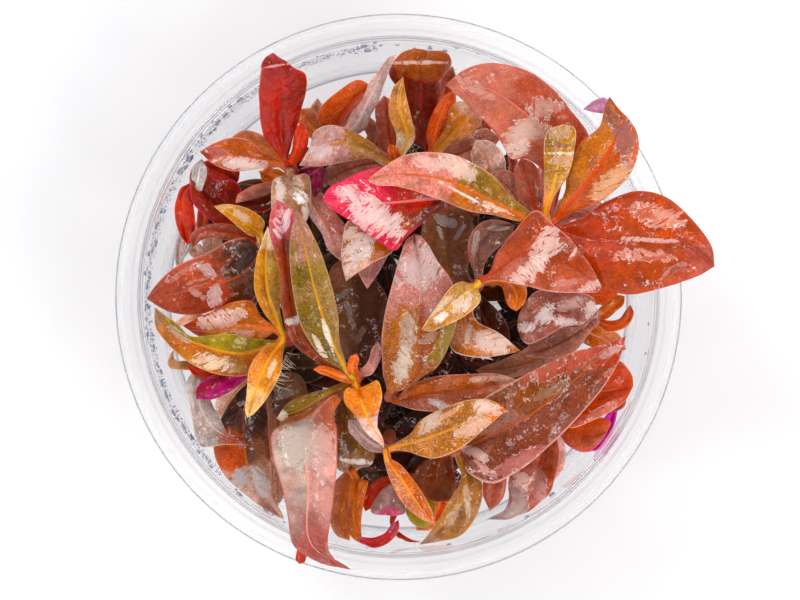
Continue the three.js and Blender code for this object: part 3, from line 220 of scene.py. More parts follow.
             "one": [(-36.3, 17.5), (-35.9, 13), (-36.3, 10.4)],
             "two": [(-38.4, 19.4), (-39.6, 15.5), (-38.8, 11.3)]}]},
    "shoot_bottom_left": {
        "route": [(-9, -24, 7), (-9.5, -27, 25), (-8.3, -30.6, 47.5)], "radius": 1.4,
        "low": [(17, 200, 12), (25, 300, 11)],
        "small": [
            {"look": "brownHollow",
             "rib": [(-8.4, -30.6, 46.6), (-8.6, -27, 49.3), (-9.2, -22, 49.5), (-10, -17.6, 48.5)],
             "one": [(-4.6, -29.3), (-4.5, -25), (-6.5, -20)],
             "two": [(-11, -30), (-11.9, -25), (-11.8, -20.5)]},
            {"look": "orangeBrown",
             "rib": [(-8.4, -30.4, 44.5), (-10, -35.5, 46.6), (-10.3, -40, 47.6), (-8.6, -43, 48)],
             "one": [(-8, -34), (-8.4, -37.5), (-8.5, -41)],
             "two": [(-12.3, -34), (-12.2, -39.3), (-11, -42)]}]},
    "shoot_inner": {
        "route": [(-2.5, 8, 7), (-3, 9.5, 30), (-4.8, 13.2, 51)], "radius": 1.3,
        "low": [(23, 10, 13), (39, 230, 12)],
        "small": [
            {"look": "rosePale", "rib": [(-4.4, 12.6, 48), (-4.6, 7.5, 50.8), (-5.5, 1.3, 51.8)],
             "one": [(-1.6, 8.5), (-2.8, 5.4), (-4.3, 3)], "two": [(-6.5, 9), (-7.1, 4.6)]},
            {"look": "paleCream",
             "rib": [(-4.9, 13.2, 50.2), (-6.5, 10, 53.4), (-8, 6, 54.4), (-9.2, 2.7, 54)],
             "one": [(-1.5, 12), (-1, 8), (-5, 5.6)], "two": [(-8.8, 13.4), (-9.9, 9.5), (-9.9, 5.4)]}]},
    "shoot_inner_right": {
        "route": [(13, 12, 7), (13.5, 15, 30), (14.3, 17.5, 54.5)], "radius": 1.3,
        "low": [(27, 30, 11), (38, 60, 11)],
        "small": [
            {"look": "brownGlint",
             "rib": [(14.1, 17, 48.6), (16, 21, 50.4), (15.5, 24.5, 51), (13.5, 27.6, 51)],
             "one": [(13.6, 21), (12.8, 25)], "two": [(18.6, 21), (18.4, 25), (16, 27.4)]}]},
}

leaves = {  # the midrib from stalk to tip, then one margin and the other; a flap is a turned-over bit
    "leaf_olive_long": {
        "rib": [(-9.3, -12.7, 60.6), (-12.2, -6.5, 62.6), (-14.8, 2, 63.8), (-16.2, 8, 63.6),
                (-17.8, 15.1, 62)],
        "one": [(-13.6, -10.4), (-16.9, -5.5), (-18.3, 0), (-19, 6.5), (-18.8, 11)],
        "two": [(-10.2, -8.5), (-10.6, -3), (-12, 3), (-13.7, 8), (-15.8, 12.3)]},
    "leaf_brown_long": {
        "rib": [(-9.8, -13.8, 57.5), (-16.6, -8, 59), (-18.8, 1, 60.9), (-19.8, 9, 61.2), (-21.3, 16.9, 60)],
        "one": [(-16.6, -10), (-19.6, -6), (-20.4, -1), (-20.9, 5), (-22.6, 11.5), (-22.4, 14.6)],
        "two": [(-13.4, -10), (-16, -3), (-16.4, 4), (-16.2, 11), (-18.8, 15.4)]},
    "leaf_olive_under_crown": {
        "rib": [(-9.4, -15.6, 57.4), (-13, -17.4, 58.6), (-17, -19.8, 57.8), (-21.4, -21.4, 56)],
        "one": [(-12.7, -18.2), (-16.2, -21.2), (-19.6, -22.2)],
        "two": [(-11.5, -15.9), (-15.4, -16.9), (-19.2, -18.5)]},
    "leaf_orange_heart": {
        "rib": [(-7.1, -16.6, 59.8), (-6.3, -18.8, 61.6), (-5.2, -21.6, 60.4), (-3.6, -24.4, 58),
                (-2.5, -26.6, 56.8)],
        "one": [(-3.8, -14.6), (-2.9, -17), (-3.5, -20), (-3.8, -22.4), (-2.7, -25)],
        "two": [(-9.2, -16.2), (-9.4, -18.4), (-7.6, -21.4), (-5, -24.3)]},
    "leaf_pale_pink_over_rim": {
        "rib": [(-8.7, -15.4, 51), (-12.8, -18.4, 53), (-16.3, -24, 56.4), (-15.8, -33, 58.4),
                (-15.3, -43.3, 59), (-8.3, -47.9, 57.4)],
        "one": [(-11.2, -20.4), (-10.7, -25), (-10.9, -31), (-11.8, -38.5), (-12.3, -44), (-11.2, -46.6)],
        "two": [(-17, -20.6), (-21.9, -23.4), (-22, -28), (-20.2, -34), (-19.2, -40), (-18.4, -43.6),
                (-14.6, -46.3)],
        "flap": {"rib": [(-16.4, -43.4, 58), (-17, -45.3, 57.4), (-17.3, -46.9, 57)], "width": 2}},
    "leaf_orange_blade_below": {
        "rib": [(-1.9, -28.8, 54.4), (0.5, -32, 56), (3.5, -36.5, 56), (6.3, -39.9, 54.6)],
        "one": [(0.2, -29.4), (3.6, -33.5), (5.8, -37.5)], "two": [(-1.7, -31.5), (0.6, -36), (3.8, -38.9)]},
    "leaf_amber_below": {
        "rib": [(-0.5, -26.4, 54.2), (4, -25.2, 57.4), (10, -22.9, 59.6), (15, -20.4, 60.2),
                (18.8, -19.8, 59.6)],
        "one": [(1.8, -24.2), (4.5, -21.3), (9, -19.1), (14.5, -17.9), (17.2, -18.6)],
        "two": [(2, -27.3), (6, -28.4), (10.5, -26.8), (14.8, -23.4), (17.6, -21)]},
    "leaf_broad_centre": {
        "rib": [(-1.4, -16.6, 51.2), (2.8, -13.8, 54), (3.7, -6, 57), (4.2, 1, 57.5), (2.6, 11, 55)],
        "one": [(-2.7, -13), (-3, -8), (-2.4, -3), (-0.6, 4), (1.2, 9.6)],
        "two": [(4, -14.6), (7, -12), (10.2, -4.5), (9.6, 2), (6.8, 6.3), (3.9, 10.6)]},
    "leaf_rust_low_centre": {
        "rib": [(-0.1, -18.4, 49.2), (5, -17.2, 51.4), (12, -16.4, 52), (21.5, -14.8, 51.6)],
        "one": [(1.5, -16), (6, -14.1), (12, -13.6), (17.5, -13.6)],
        "two": [(2, -19.6), (6, -20.2), (12, -19.6), (17.5, -17.5)]},
    "leaf_amber_small": {
        "rib": [(13.4, 1.6, 57.6), (10.8, -0.3, 60), (7.5, -3.2, 60.2), (4, -5.9, 59)],
        "one": [(14.2, -1), (11.5, -3.5), (8, -5.2), (5.5, -6.1)],
        "two": [(11.2, 2.6), (9.4, 1.8), (6.5, -2), (4.8, -4.5)]},
    "leaf_rust_rhombic": {
        "rib": [(16, 3.4, 57.4), (22, 7.3, 60), (28, 6.3, 61.4), (35.6, 1.6, 61)],
        "one": [(17, 7.2), (20, 11), (24, 15.1), (27, 12.6), (30, 10), (33, 6.2)],
        "two": [(18, 2.6), (21.5, 2), (27, 0.7), (32, 0.6), (34.8, 0.8)]},
    "leaf_amber_upright": {
        "rib": [(25.7, 14.6, 58.8), (27, 19, 62), (28.2, 25, 63.8), (28.8, 30, 64)],
        "one": [(25.5, 18.5), (25.4, 24), (26, 28.8)],
        "two": [(27, 17), (29.3, 20.5), (30.7, 25.5), (30.7, 29.3)]},
    "leaf_orange_upright": {
        "rib": [(28, 14, 57.4), (32, 19, 61), (36.5, 25, 63), (38.8, 30, 62.6), (36.9, 34.9, 60.6)],
        "one": [(28.9, 18), (29.6, 22), (31.5, 26.5), (35.2, 29.8), (36, 33.2)],
        "two": [(31.5, 15), (36.5, 17.4), (40.2, 21), (41.9, 25.5), (41.6, 28.6), (39.5, 31.5)],
        "flap": {"rib": [(37.2, 33.4, 61.2), (36, 33.6, 59.6), (34.2, 33.4, 58.4), (32.3, 32.8, 57.6)],
                 "one": [(36, 34.8), (34, 34.2)], "two": [(36.4, 32), (34.3, 32.2)]}},
    "leaf_over_rim": {
        "rib": [(28.2, 11.7, 57), (33, 10.2, 58.6), (44, 9.6, 61), (51, 8.6, 60.4), (55.3, 5.2, 58.6)],
        "one": [(32.5, 14), (36.5, 16.6), (41.5, 18.4), (46.8, 17.3), (51.5, 13.2), (54.8, 8.6)],
        "two": [(31.4, 6.5), (35, 1.8), (40, 0.3), (46, 1.4), (52, 3.4)]},
    "leaf_long_pink_olive": {
        "rib": [(24.5, 12.8, 58.6), (16, 16.8, 60.6), (8, 20.3, 62.2), (0, 21.3, 62.2), (-5.6, 20.2, 61.2)],
        "one": [(18, 13.9), (12, 15), (6, 17.3), (0, 19.1), (-3.5, 19.4)],
        "two": [(20.5, 16.8), (16, 21.4), (11, 24.2), (5, 25.2), (0.5, 24.4), (-3, 22.2)]},
    "leaf_big_pink_brown": {
        "rib": [(26.8, 14.5, 55.8), (27.5, 21.5, 57.2), (25, 28.8, 58.8), (20.5, 33.3, 59.8),
                (15, 36.5, 60.4), (8.2, 37, 59.4)],
        "one": [(26.4, 20.5), (23, 23.8), (19.8, 24), (17.3, 28), (12.8, 32.8)],
        "two": [(29.2, 20.5), (33, 25.4), (33.4, 28), (30.2, 32.5), (27, 36.3), (22.3, 39.5), (16, 40.8),
                (11.5, 39.6)]},
    "leaf_bright_pink": {
        "rib": [(12.6, 17.8, 55.2), (5, 17, 57.6), (-4, 16.3, 58.6), (-13.4, 17, 58.2)],
        "one": [(9, 15.8), (5, 13.6), (1.4, 10.2), (-0.5, 8), (-4, 10), (-8.5, 13.2), (-11.6, 15.2)],
        "two": [(7, 20.5), (1, 22.6), (-5, 22.3), (-9.5, 20.4), (-12.3, 18.9)]},
    "leaf_wet_crinkled": {
        "rib": [(34.8, -2.9, 48.8), (30, -2, 52.4), (25, -3, 53.4), (20.8, -5.8, 52.4)],
        "one": [(32.5, -4.8), (29, -5.3), (25, -7.6), (22.5, -8.3)],
        "two": [(34, 0), (29, 1.2), (24, 0.8), (21.3, -2.8)]},
    "leaf_big_right": {
        "rib": [(11.2, -26.9, 52), (16, -24.6, 54.5), (23.5, -20.5, 56.5), (31, -14.5, 57.5),
                (39.8, -7, 57.5)],
        "one": [(11.8, -23), (14.5, -18.3), (19.5, -15.2), (25.5, -12), (31, -9.6), (36, -8.4)],
        "two": [(12.2, -30.8), (16.5, -32.8), (21, -30.6), (27, -25.7), (32.5, -20), (36.3, -15.3),
                (38.7, -11)]},
    "leaf_orange_right_wing": {
        "rib": [(28.9, -21.1, 47.2), (33, -17.5, 50.6), (41.3, -15.7, 51.4)],
        "one": [(31.5, -14), (38.4, -11), (41, -13.6)], "two": [(30, -23), (35, -21.4), (39.8, -18.4)]},
    "leaf_brown_red_lower": {
        "rib": [(27.1, -23.7, 44.3), (25, -29, 47.4), (23.4, -35, 48.6), (20, -39, 47.4),
                (15.6, -39.2, 47.6)], "one": [(28.4, -27.5), (27.8, -31), (26.4, -35), (22.6, -37.6)],
        "two": [(21, -27), (19.4, -32), (19, -37)]},
    "leaf_olive_lower": {
        "rib": [(10.6, -28.4, 47), (12, -34, 49.6), (9, -39, 50.4), (3.7, -43.6, 50)],
        "one": [(14.6, -32.5), (14, -38), (11, -42), (7, -43.1)],
        "two": [(11, -32), (8.8, -36), (6.3, -40.5)]},
    "leaf_orange_twisted": {
        "rib": [(-7.3, -32.3, 47.6), (-7.6, -35, 49.4), (-7.9, -39, 50.4), (-6.2, -43.5, 50.2)],
        "one": [(-5.4, -32.5), (-6.2, -36.5), (-6.6, -41)],
        "two": [(-8.5, -33.2), (-8.8, -36.5), (-9.2, -40.3), (-8, -42.6)],
        "flap": {"rib": [(-6.5, -42.8, 50.2), (-4.6, -43.3, 51.4), (-1.6, -42, 52.4), (0, -39.2, 52.6)],
                 "width": 1.9}},
    "leaf_translucent_brown": {
        "rib": [(-26, -15, 45.6), (-27.2, -21, 47), (-26.8, -29, 48.2), (-24.5, -35.2, 48.2),
                (-20.2, -39.2, 47)],
        "one": [(-28.6, -17), (-31.2, -21), (-32.6, -27), (-30.6, -31.5), (-26, -35.6), (-22.6, -38)],
        "two": [(-23.4, -18), (-22.7, -25), (-22.3, -31), (-22.3, -35), (-20.8, -38)]},
    "leaf_silver_wilted": {
        "rib": [(-27.9, -13.5, 46.4), (-35, -14, 48.4), (-35, -19, 49.6), (-32.5, -23, 51.4),
                (-25.8, -26.2, 52.4)], "one": [(-33, -15.5), (-32.6, -19), (-31, -22), (-29, -24.8)],
        "two": [(-34, -12), (-37.2, -14.5), (-36.4, -20.5), (-35, -26.3), (-30.5, -26)]},
    "leaf_ochre_down": {
        "rib": [(-20.6, -8.4, 55.4), (-23, -11.6, 58.2), (-24.8, -16, 59), (-26.5, -21.3, 57)],
        "one": [(-20.3, -10.4), (-20.5, -13), (-22.5, -17), (-25, -20.3)],
        "two": [(-23.8, -9.4), (-26, -12.3), (-26.5, -16), (-26.8, -19.8)]},
    "leaf_yellow_olive_left": {
        "rib": [(-21.8, -8.3, 51.8), (-28, -10, 54.6), (-35, -8.3, 54.9), (-40, -5.6, 53.4),
                (-42.9, -1.9, 51)],
        "one": [(-26, -13.6), (-31, -13.8), (-36, -12), (-40, -8.9), (-42.7, -5.2)],
        "two": [(-25.5, -7.3), (-30, -6.5), (-36, -6.9), (-38.5, -5.3), (-41, -3.2)]},
    "leaf_orange_pink_left": {
        "rib": [(-21.9, -5.7, 53), (-27, -5, 51.9), (-33, -5.6, 51.2), (-38, -5.1, 50.2)],
        "one": [(-25, -8), (-30, -8), (-35, -7)],
        "two": [(-24.5, -3.2), (-25.5, -1), (-29, -0.9), (-33.5, -2.9)]},
    "leaf_amber_left": {
        "rib": [(-20.9, -5.3, 55.2), (-22.9, 1, 57.2), (-23.3, 6, 57.4), (-22.9, 12.3, 56)],
        "one": [(-23.5, -3), (-25.2, 1), (-25, 6), (-24, 9.5)],
        "two": [(-20.8, -1.8), (-20.2, 1.5), (-21, 5.4), (-22, 9)]},
    "leaf_big_brown_red_left": {
        "rib": [(-24.6, 7.8, 46.4), (-28, 3.8, 49), (-36, 1.3, 51), (-44.3, -0.4, 51.6)],
        "one": [(-25.4, -0.4), (-31, -1.8), (-35.5, -3.2), (-40.5, -2.6)],
        "two": [(-27, 10.4), (-30, 9.8), (-34, 7.6), (-39, 5.4), (-43, 1.7)]},
    "leaf_ochre_upper_left": {
        "rib": [(-24.6, 11.3, 46.6), (-26.6, 12.7, 48.8), (-30, 15, 49.6), (-32.6, 16, 49.2)],
        "one": [(-26.3, 10.8), (-29.8, 13.7)], "two": [(-23.6, 13.2), (-26.2, 15.4), (-30, 16.3)]},
    "leaf_dark_red_cupped": {
        "rib": [(-24.9, 10.9, 41.4), (-30.5, 15.5, 41.6), (-34.8, 19.4, 44.4), (-35.3, 22.2, 47.2),
                (-34.6, 24.3, 49.2)],
        "one": [(-29, 10.8, 42), (-33.5, 13.8, 43.4), (-36.2, 17, 45), (-37, 20.2, 46.4), (-36.6, 22.4, 48)],
        "two": [(-26.6, 16, 42), (-29, 20.6, 43.4), (-33, 21, 45.6), (-33.5, 22.6, 48)]},
    "leaf_tall_red": {
        "rib": [(-20.1, 24.7, 48.8), (-20.8, 31, 52.6), (-20.6, 37, 58.4), (-21.2, 40.3, 60.4),
                (-22, 42.7, 58.6)], "one": [(-23.6, 28), (-24.4, 33), (-24.3, 37.5), (-23.8, 41)],
        "two": [(-18.4, 28), (-16.8, 34), (-16.1, 38.5), (-18.6, 40.3)], "lift": (1, 1)},
    "leaf_amber_pink_left": {
        "rib": [(-21.1, 23.5, 46.8), (-24.5, 24, 49), (-30, 24.9, 50), (-35, 25.5, 50.6)],
        "one": [(-24.5, 22.6), (-29, 22.1), (-32.6, 23.4)],
        "two": [(-23.6, 25.4), (-26.5, 27.6), (-29.5, 28), (-33, 26.8)]},
    "leaf_white_glint": {
        "rib": [(-18.9, 21, 48.4), (-18.6, 18, 51), (-18.6, 15, 51.4), (-18.3, 11.5, 49)],
        "one": [(-15.8, 21.2), (-15.4, 18), (-15.8, 14.5)],
        "two": [(-21.8, 20.8), (-22.4, 17.5), (-21.8, 14)]},
    "leaf_twisted_pale": {
        "rib": [(-2.3, 23.7, 47.4), (-6, 26, 50.6), (-11, 27, 52.4), (-17.5, 23, 53.2)],
        "one": [(-4, 26.8), (-8.5, 29.1), (-12, 30.2), (-14.8, 29), (-15.7, 26.2)],
        "two": [(-5, 24.3), (-10, 23.6), (-14, 22.9)]},
    "leaf_orange_red_top": {
        "rib": [(-11.5, 29.6, 42.6), (-9.5, 32.5, 45.4), (-6.5, 35.8, 48), (-4.2, 36.8, 47.6)],
        "one": [(-14.2, 31), (-13.5, 33.8), (-10.8, 36.2), (-7, 38.3)],
        "two": [(-9, 30), (-6.2, 32.5), (-4.9, 34.8)]},
    "leaf_folded_top": {
        "rib": [(4.5, 26.7, 43.8), (4, 32, 45), (4, 38, 49), (4, 41.2, 51.4), (5, 43.4, 50.4)],
        "one": [(1.2, 28), (0.6, 33), (-0.3, 37), (-1.7, 39.7), (-0.2, 42.3), (2, 43.5)],
        "two": [(7, 28), (7.2, 34), (7.4, 38), (9.2, 40.2), (8.7, 42.8)]},
}

# Colours: the body and its other half, the ends, the midrib, the edge and what lies on it. The patches
# are painted highlights on the wet skin, and a few darker marks: x, y, half length, half width, angle in
# degrees, colour.
looks = {
    "leaf_olive_long": {"body": "765e28", "two": "927644", "tip": "ac7c70", "rib": "dc9c30", "edge": "bc9070",
        "flecks": 0.4, "fleck": "b89470",
        "patches": [(-12.3, -7, 2.8, 0.45, 108, "f6ecdc"), (-13.8, -8.8, 2, 0.6, 122, "ecd8c0")]},
    "leaf_brown_long": {"body": "984a36", "two": "743624", "tip": "cc6e74", "rib": "92442e",
        "stalk": "7c3c28", "edge": "c07870", "glint": 0.45,
        "patches": [(-20.4, 12.8, 2.6, 1.5, 85, "f2d2d4"), (-18.4, -4.3, 1.5, 0.9, 10, "dccac6")]},
    "leaf_olive_under_crown": {"body": "7a3c1c", "two": "765a18", "rib": "9c6c20", "edge": "946440",
        "patches": [(-20.4, -21, 1.3, 1, 0, "d0c2b0")]},
    "leaf_orange_heart": {"body": "de7410", "tip": "f8ccc4", "tipFrom": 0.46, "rib": "f0a43c",
        "edge": "eca868"},
    # partly painted reflection: much of this leaf's pale pink and grey is the sheen of the lights on its wet
    # skin, painted into its colours
    "leaf_pale_pink_over_rim": {"body": "d09c92", "flap": "b4361c", "two": "b8a096", "stalk": "bc6c46",
        "stalkTo": 0.28, "tip": "90524e", "tipFrom": 0.7, "tipSoft": 0.24, "rib": "e8aa9a", "edge": "b8645c",
        "smooth": 1, "flecks": 0.1, "fleck": "dca098",
        "patches": [(-10.6, -16.9, 2.6, 0.9, 142, "6a2a1c"), (-12.8, -20.2, 2.6, 1.5, 115, "c8664a"),
                    (-11.5, -24.6, 2.8, 0.4, 92, "b85636"), (-20.4, -22.8, 1.6, 1, 10, "a06a3c"),
                    (-17.4, -25.6, 4.8, 3.6, 90, "c4b6aa"), (-13.4, -27, 4.6, 2, 90, "d4a49c")]},
    "leaf_orange_blade_below": {"body": "c2603a", "two": "cc8464", "rib": "f2a860", "flecks": 0.6,
        "fleck": "f4b4a0", "edge": "f0a880"},
    "leaf_amber_below": {"body": "a66c3c", "two": "b87440", "tip": "e8744c", "tipFrom": 0.9, "rib": "e0a060",
        "edge": "e8b48c", "flecks": 0.5, "fleck": "e8bc98",
        "patches": [(5.8, -22, 2.6, 1.3, 38, "cab4a4"), (12.8, -23, 4, 1.5, 35, "e8b498"),
                    (15.4, -19.6, 2.2, 1.3, 150, "f0cebe"), (8.6, -20.6, 3, 0.6, 30, "dc9c78")]},
    "leaf_broad_centre": {"body": "a8642c", "two": "96502c", "tip": "bc8078", "tipFrom": 0.52,
        "rib": "ac5844", "ribWide": 0.16, "edge": "cc9888", "glint": 0.5, "flecks": 0.5, "fleck": "d4ac9c",
        "patches": [(3.6, 5.2, 3.8, 3.8, 80, "d2b4b0"), (8, -8.2, 5, 1.9, 62, "847410"),
                    (5.6, -7.4, 1.6, 1.1, 30, "a8846a"), (1.6, -6.6, 4.4, 1.2, 85, "b09884"),
                    (0.6, -12.4, 3, 1.6, 80, "dacab8")]},
    "leaf_rust_low_centre": {"tip": "e0ac94", "body": "b8663e", "two": "a86450", "rib": "b4583a",
        "edge": "dca898", "flecks": 0.5, "fleck": "d09480",
        "patches": [(7, -19, 2.2, 0.7, 160, "dcd0cc"), (16, -14.4, 4.4, 0.5, 4, "dcac9c")]},
    "leaf_amber_small": {"body": "c88850", "two": "cc966c", "stalk": "bc9058", "rib": "e8b018",
        "edge": "f0d0a8",
        "patches": [(10.9, -1.4, 2.2, 1.2, 45, "ecd0ba"), (7.6, -1.4, 2.6, 0.6, 42, "e6c6a0"),
                    (7.4, -3.7, 1.5, 0.7, 35, "fdf8f4")]},
    "leaf_rust_rhombic": {"body": "a8482a", "two": "b46450", "tip": "bc6c5c", "tipFrom": 0.8, "rib": "b85040",
        "edge": "d89c94", "glint": 0.5,
        "patches": [(25.6, 8.6, 3.6, 2.2, 60, "f0c4b8"), (23, 4.4, 3.8, 1.6, 40, "f0ccbf"),
                    (33.8, 1.9, 2, 0.9, 25, "e2b4ac"), (30.6, 7.6, 1.8, 0.4, 60, "ecc0b4"),
                    (29.4, 2.4, 2.8, 0.5, 10, "c88070")]},
    "leaf_amber_upright": {"stalk": "ec8c54", "body": "b4803c", "two": "c48c48", "rib": "e8a42c",
        "edge": "e4ccac", "glint": 0.3,
        "patches": [(28.2, 28.6, 2.5, 1.5, 0, "cca07c"), (28.4, 23.6, 2.2, 1, 0, "c89874"),
                    (28, 26.2, 3, 0.5, 2, "8a5028"), (27.6, 21.8, 2.4, 0.45, 4, "9c6424"),
                    (28.2, 24.9, 2.6, 0.3, 0, "f0dcc4")]},
    "leaf_orange_upright": {"body": "ba6c2c", "two": "bc684c", "sheen": "cc8450", "tip": "8c0820",
        "tipFrom": 0.95, "rib": "dc4c30", "ribWide": 0.4, "edge": "bc6c60",
        "patches": [(37, 19.6, 4.2, 2, 45, "e0aa7c"), (39.4, 27.6, 4.4, 2, 100, "985e5a"),
                    (37, 31.4, 2.6, 1.4, 140, "7e4442"), (34, 23.4, 2, 1, 60, "a8501c")]},
    "leaf_over_rim": {"stalk": "bc5c4c", "stalkTo": 0.4, "body": "bc4a20", "two": "b04820", "tip": "c06c60",
        "tipFrom": 0.8, "rib": "b0361c", "ribWide": 0.16, "edge": "b04c3c", "glint": 0.45,
        "patches": [(45.4, 14, 4.2, 2, 165, "e2a08c"), (43.4, 14.4, 2.2, 1.5, 5, "c44a14"),
                    (44, 9.8, 5.8, 0.4, 176, "ecbcb0"), (43.8, 7, 5.4, 1, 176, "e29a88"),
                    (44.4, 6.6, 3.4, 0.5, 5, "bc4c24")]},
    "leaf_long_pink_olive": {"body": "bc7038", "two": "8e6e24", "tip": "e29a8c", "tipFrom": 0.5,
        "rib": "d8744c", "edge": "e4ac9c", "flecks": 0.5, "fleck": "b4483c", "glint": 0.3,
        "patches": [(11, 22.4, 3.8, 1.9, 158, "eac4b4"), (12.4, 17.2, 5.6, 0.3, 152, "f2ded4"),
                    (5.6, 23.2, 3.4, 1, 170, "e6b4a8"), (16.8, 15.6, 3, 0.5, 155, "eccaa8")]},
    "leaf_big_pink_brown": {"body": "bc7462", "two": "ac5c4c", "stalk": "984630", "tip": "c07c6e",
        "tipFrom": 0.66, "rib": "d88878", "edge": "bc6056", "glint": 0.25, "flecks": 0.4, "fleck": "cc7c68",
        "smooth": 0.6,
        "patches": [(22, 28.4, 4.6, 2.5, 35, "dab4a4"), (25.6, 33, 3.2, 1.9, 10, "c49484"),
                    (20.6, 25.4, 1.8, 1.2, 0, "dcb8aa"), (13, 36.6, 4, 1, 150, "d49484")]},
    "leaf_bright_pink": {"stalk": "602416", "body": "a83a1c", "two": "b0442c", "tip": "ec6c78",
        "tipFrom": 0.6, "rib": "f09894", "edge": "e4486a", "glint": 0.4,
        "patches": [(-4.4, 14.4, 6, 3, 138, "fad8d2"), (-8.6, 18.4, 2.4, 1.6, 20, "f8c8c8"),
                    (-12, 17.2, 1.6, 1.4, 10, "e6285e")]},
    "leaf_wet_crinkled": {"body": "985a4e", "two": "a0685c", "rib": "8a4034", "edge": "cca8a0", "glint": 0.8,
        "patches": [(25.8, -3.4, 2, 1.6, 60, "ecdedb"), (29.6, -4.4, 2.8, 0.8, 175, "dcc0bc"),
                    (34, -2.2, 1.6, 1.4, 60, "e8d4d0"), (22.6, -5.4, 1.6, 0.9, 0, "e0d0cc"),
                    (30.4, -1.4, 2.6, 1, 20, "c89c90")]},
    "leaf_big_right": {"body": "7e482e", "two": "7e4638", "tip": "b05244", "tipFrom": 0.78, "rib": "c46c54",
        "edge": "dca89e", "flecks": 0.4, "fleck": "bc7058", "glint": 0.12, "smooth": 0.2,
        "patches": [(29.6, -11.8, 9, 1.9, 20, "b84c34"), (26.4, -16.6, 3.6, 1.1, 25, "94684c"),
                    (13.6, -27.6, 2.6, 1, 150, "dcb8ac"), (14.8, -29.8, 3, 0.9, 140, "d8a094"),
                    (37.4, -9.6, 2, 0.7, 30, "c89c94"), (21.4, -28.6, 6, 1.4, 28, "b4625a")]},
    "leaf_orange_right_wing": {"body": "c43c12", "rib": "e08868", "edge": "e0a494", "flecks": 0.35,
        "fleck": "d8603c", "patches": [(35.6, -20.2, 3.6, 0.9, 30, "c87464")]},
    "leaf_brown_red_lower": {"tip": "ac9894", "tipFrom": 0.66, "body": "a85a48", "two": "a86054",
        "rib": "b85440", "edge": "c87c74",
        "patches": [(21.6, -32.4, 1.9, 1.5, 0, "dcb4a6"), (21.4, -36.4, 3, 1.4, 90, "a48884"),
                    (24.8, -33.2, 2.6, 1.4, 90, "c08880")]},
    "leaf_olive_lower": {"body": "a0724c", "two": "ba885c", "tip": "94706c", "tipFrom": 0.86, "rib": "cc9448",
        "edge": "d0a880",
        "patches": [(12, -35.4, 3.4, 0.6, 95, "dcb898"), (9.6, -38.4, 2.6, 0.7, 60, "c8a084"),
                    (13.4, -34.4, 2, 0.8, 90, "b8701c")]},
    "leaf_orange_twisted": {"body": "b85824", "two": "ac541c", "rib": "cc6c30", "edge": "d08458",
        "flap": "a81c14"},
    "leaf_translucent_brown": {"body": "c45020", "two": "6e4634", "stalk": "34211a", "tip": "bc9c90",
        "rib": "c87c54", "edge": "c08468", "tipFrom": 0.62,
        "patches": [(-27.4, -31.8, 2.8, 1.8, 20, "b2aeac"), (-24.2, -33, 2.8, 1.5, 100, "b6b0ae"),
                    (-27.6, -23, 3.8, 2, 90, "54302c")]},
    "leaf_silver_wilted": {"body": "b0a09a", "two": "bcaca6", "tip": "96503e", "rib": "c8b8b2",
        "edge": "d0c4c0", "glint": 0.5, "flecks": 0.5, "fleck": "8a6a5c"},
    "leaf_ochre_down": {"body": "dc8a3c", "two": "dc9460", "tip": "f2c48c", "tipFrom": 0.6, "rib": "eca83c",
        "edge": "ecc090", "stalk": "d07428", "patches": [(-22.2, -12.6, 1.8, 0.5, 70, "ecc8a0")]},
    "leaf_yellow_olive_left": {"body": "b86c38", "two": "8c7a14", "tip": "a88468", "tipFrom": 0.8,
        "rib": "e09c38", "edge": "cca068",
        "patches": [(-32, -11.6, 3.8, 1.4, 170, "f0d2b0"), (-38.8, -6.4, 2.6, 0.6, 145, "c4a48c"),
                    (-28.4, -12, 2, 1, 160, "a8740c"), (-27.8, -7.8, 1.2, 0.7, 0, "c8b07c")]},
    "leaf_orange_pink_left": {"body": "bc7444", "two": "bc6c3c", "tip": "9a2a1a", "rib": "e0703c",
        "edge": "d0826c",
        "patches": [(-31, -4, 3.8, 1.6, 12, "f0c8bc"), (-27.4, -6.6, 2, 0.9, 160, "dc9c84")]},
    "leaf_amber_left": {"body": "d08848", "two": "a8804c", "tip": "f0d8b8", "tipFrom": 0.8, "rib": "eca838",
        "edge": "d8b870"},
    "leaf_big_brown_red_left": {"body": "a04432", "two": "b4604e", "stalk": "543020", "stalkTo": 0.42,
        "tip": "9c5448", "rib": "c46c54", "edge": "c88478", "sheen": "a04c38", "flecks": 0.2,
        "fleck": "c06c58", "glint": 0.3, "smooth": 0.5,
        "patches": [(-26.8, 7.6, 3.4, 2.4, 60, "3e2418"), (-33.8, 4.6, 2, 1.1, 140, "c8a49c"),
                    (-32.4, 0.2, 1.9, 1.2, 80, "ccaaa4"), (-35.8, 0.8, 1.8, 0.5, 150, "c08c80"),
                    (-38.4, 4, 3, 0.4, 35, "b47468")]},
    "leaf_ochre_upper_left": {"two": "d89458", "body": "d68a44", "tip": "eec08c", "rib": "e8b030",
        "edge": "eec48c", "patches": [(-27.4, 14, 1.8, 0.7, 150, "ecc8a0")]},
    "leaf_dark_red_cupped": {"body": "983020", "two": "902618", "tip": "9c6c60", "tipFrom": 0.8,
        "rib": "a83428", "edge": "d0507c", "sheen": "a84c3c", "glint": 0.3},
    "leaf_tall_red": {"body": "b42616", "two": "902218", "tip": "a03430", "tipFrom": 0.7, "rib": "a41c14",
        "edge": "c03428", "smooth": 0.3, "patches": [(-21.4, 40.3, 2, 0.3, 10, "e8a0a0")]},
    "leaf_amber_pink_left": {"body": "c8846e", "two": "b05428", "tip": "983824", "tipFrom": 0.84,
        "rib": "d0744c", "edge": "dca090",
        "patches": [(-27.4, 23.5, 4.8, 1, 175, "ecd0ca"), (-31.6, 25.4, 2.4, 0.9, 165, "b4605c")]},
    "leaf_white_glint": {"body": "a87c60", "two": "b48c72", "rib": "a87c50", "edge": "d0b8a4", "glint": 0.4,
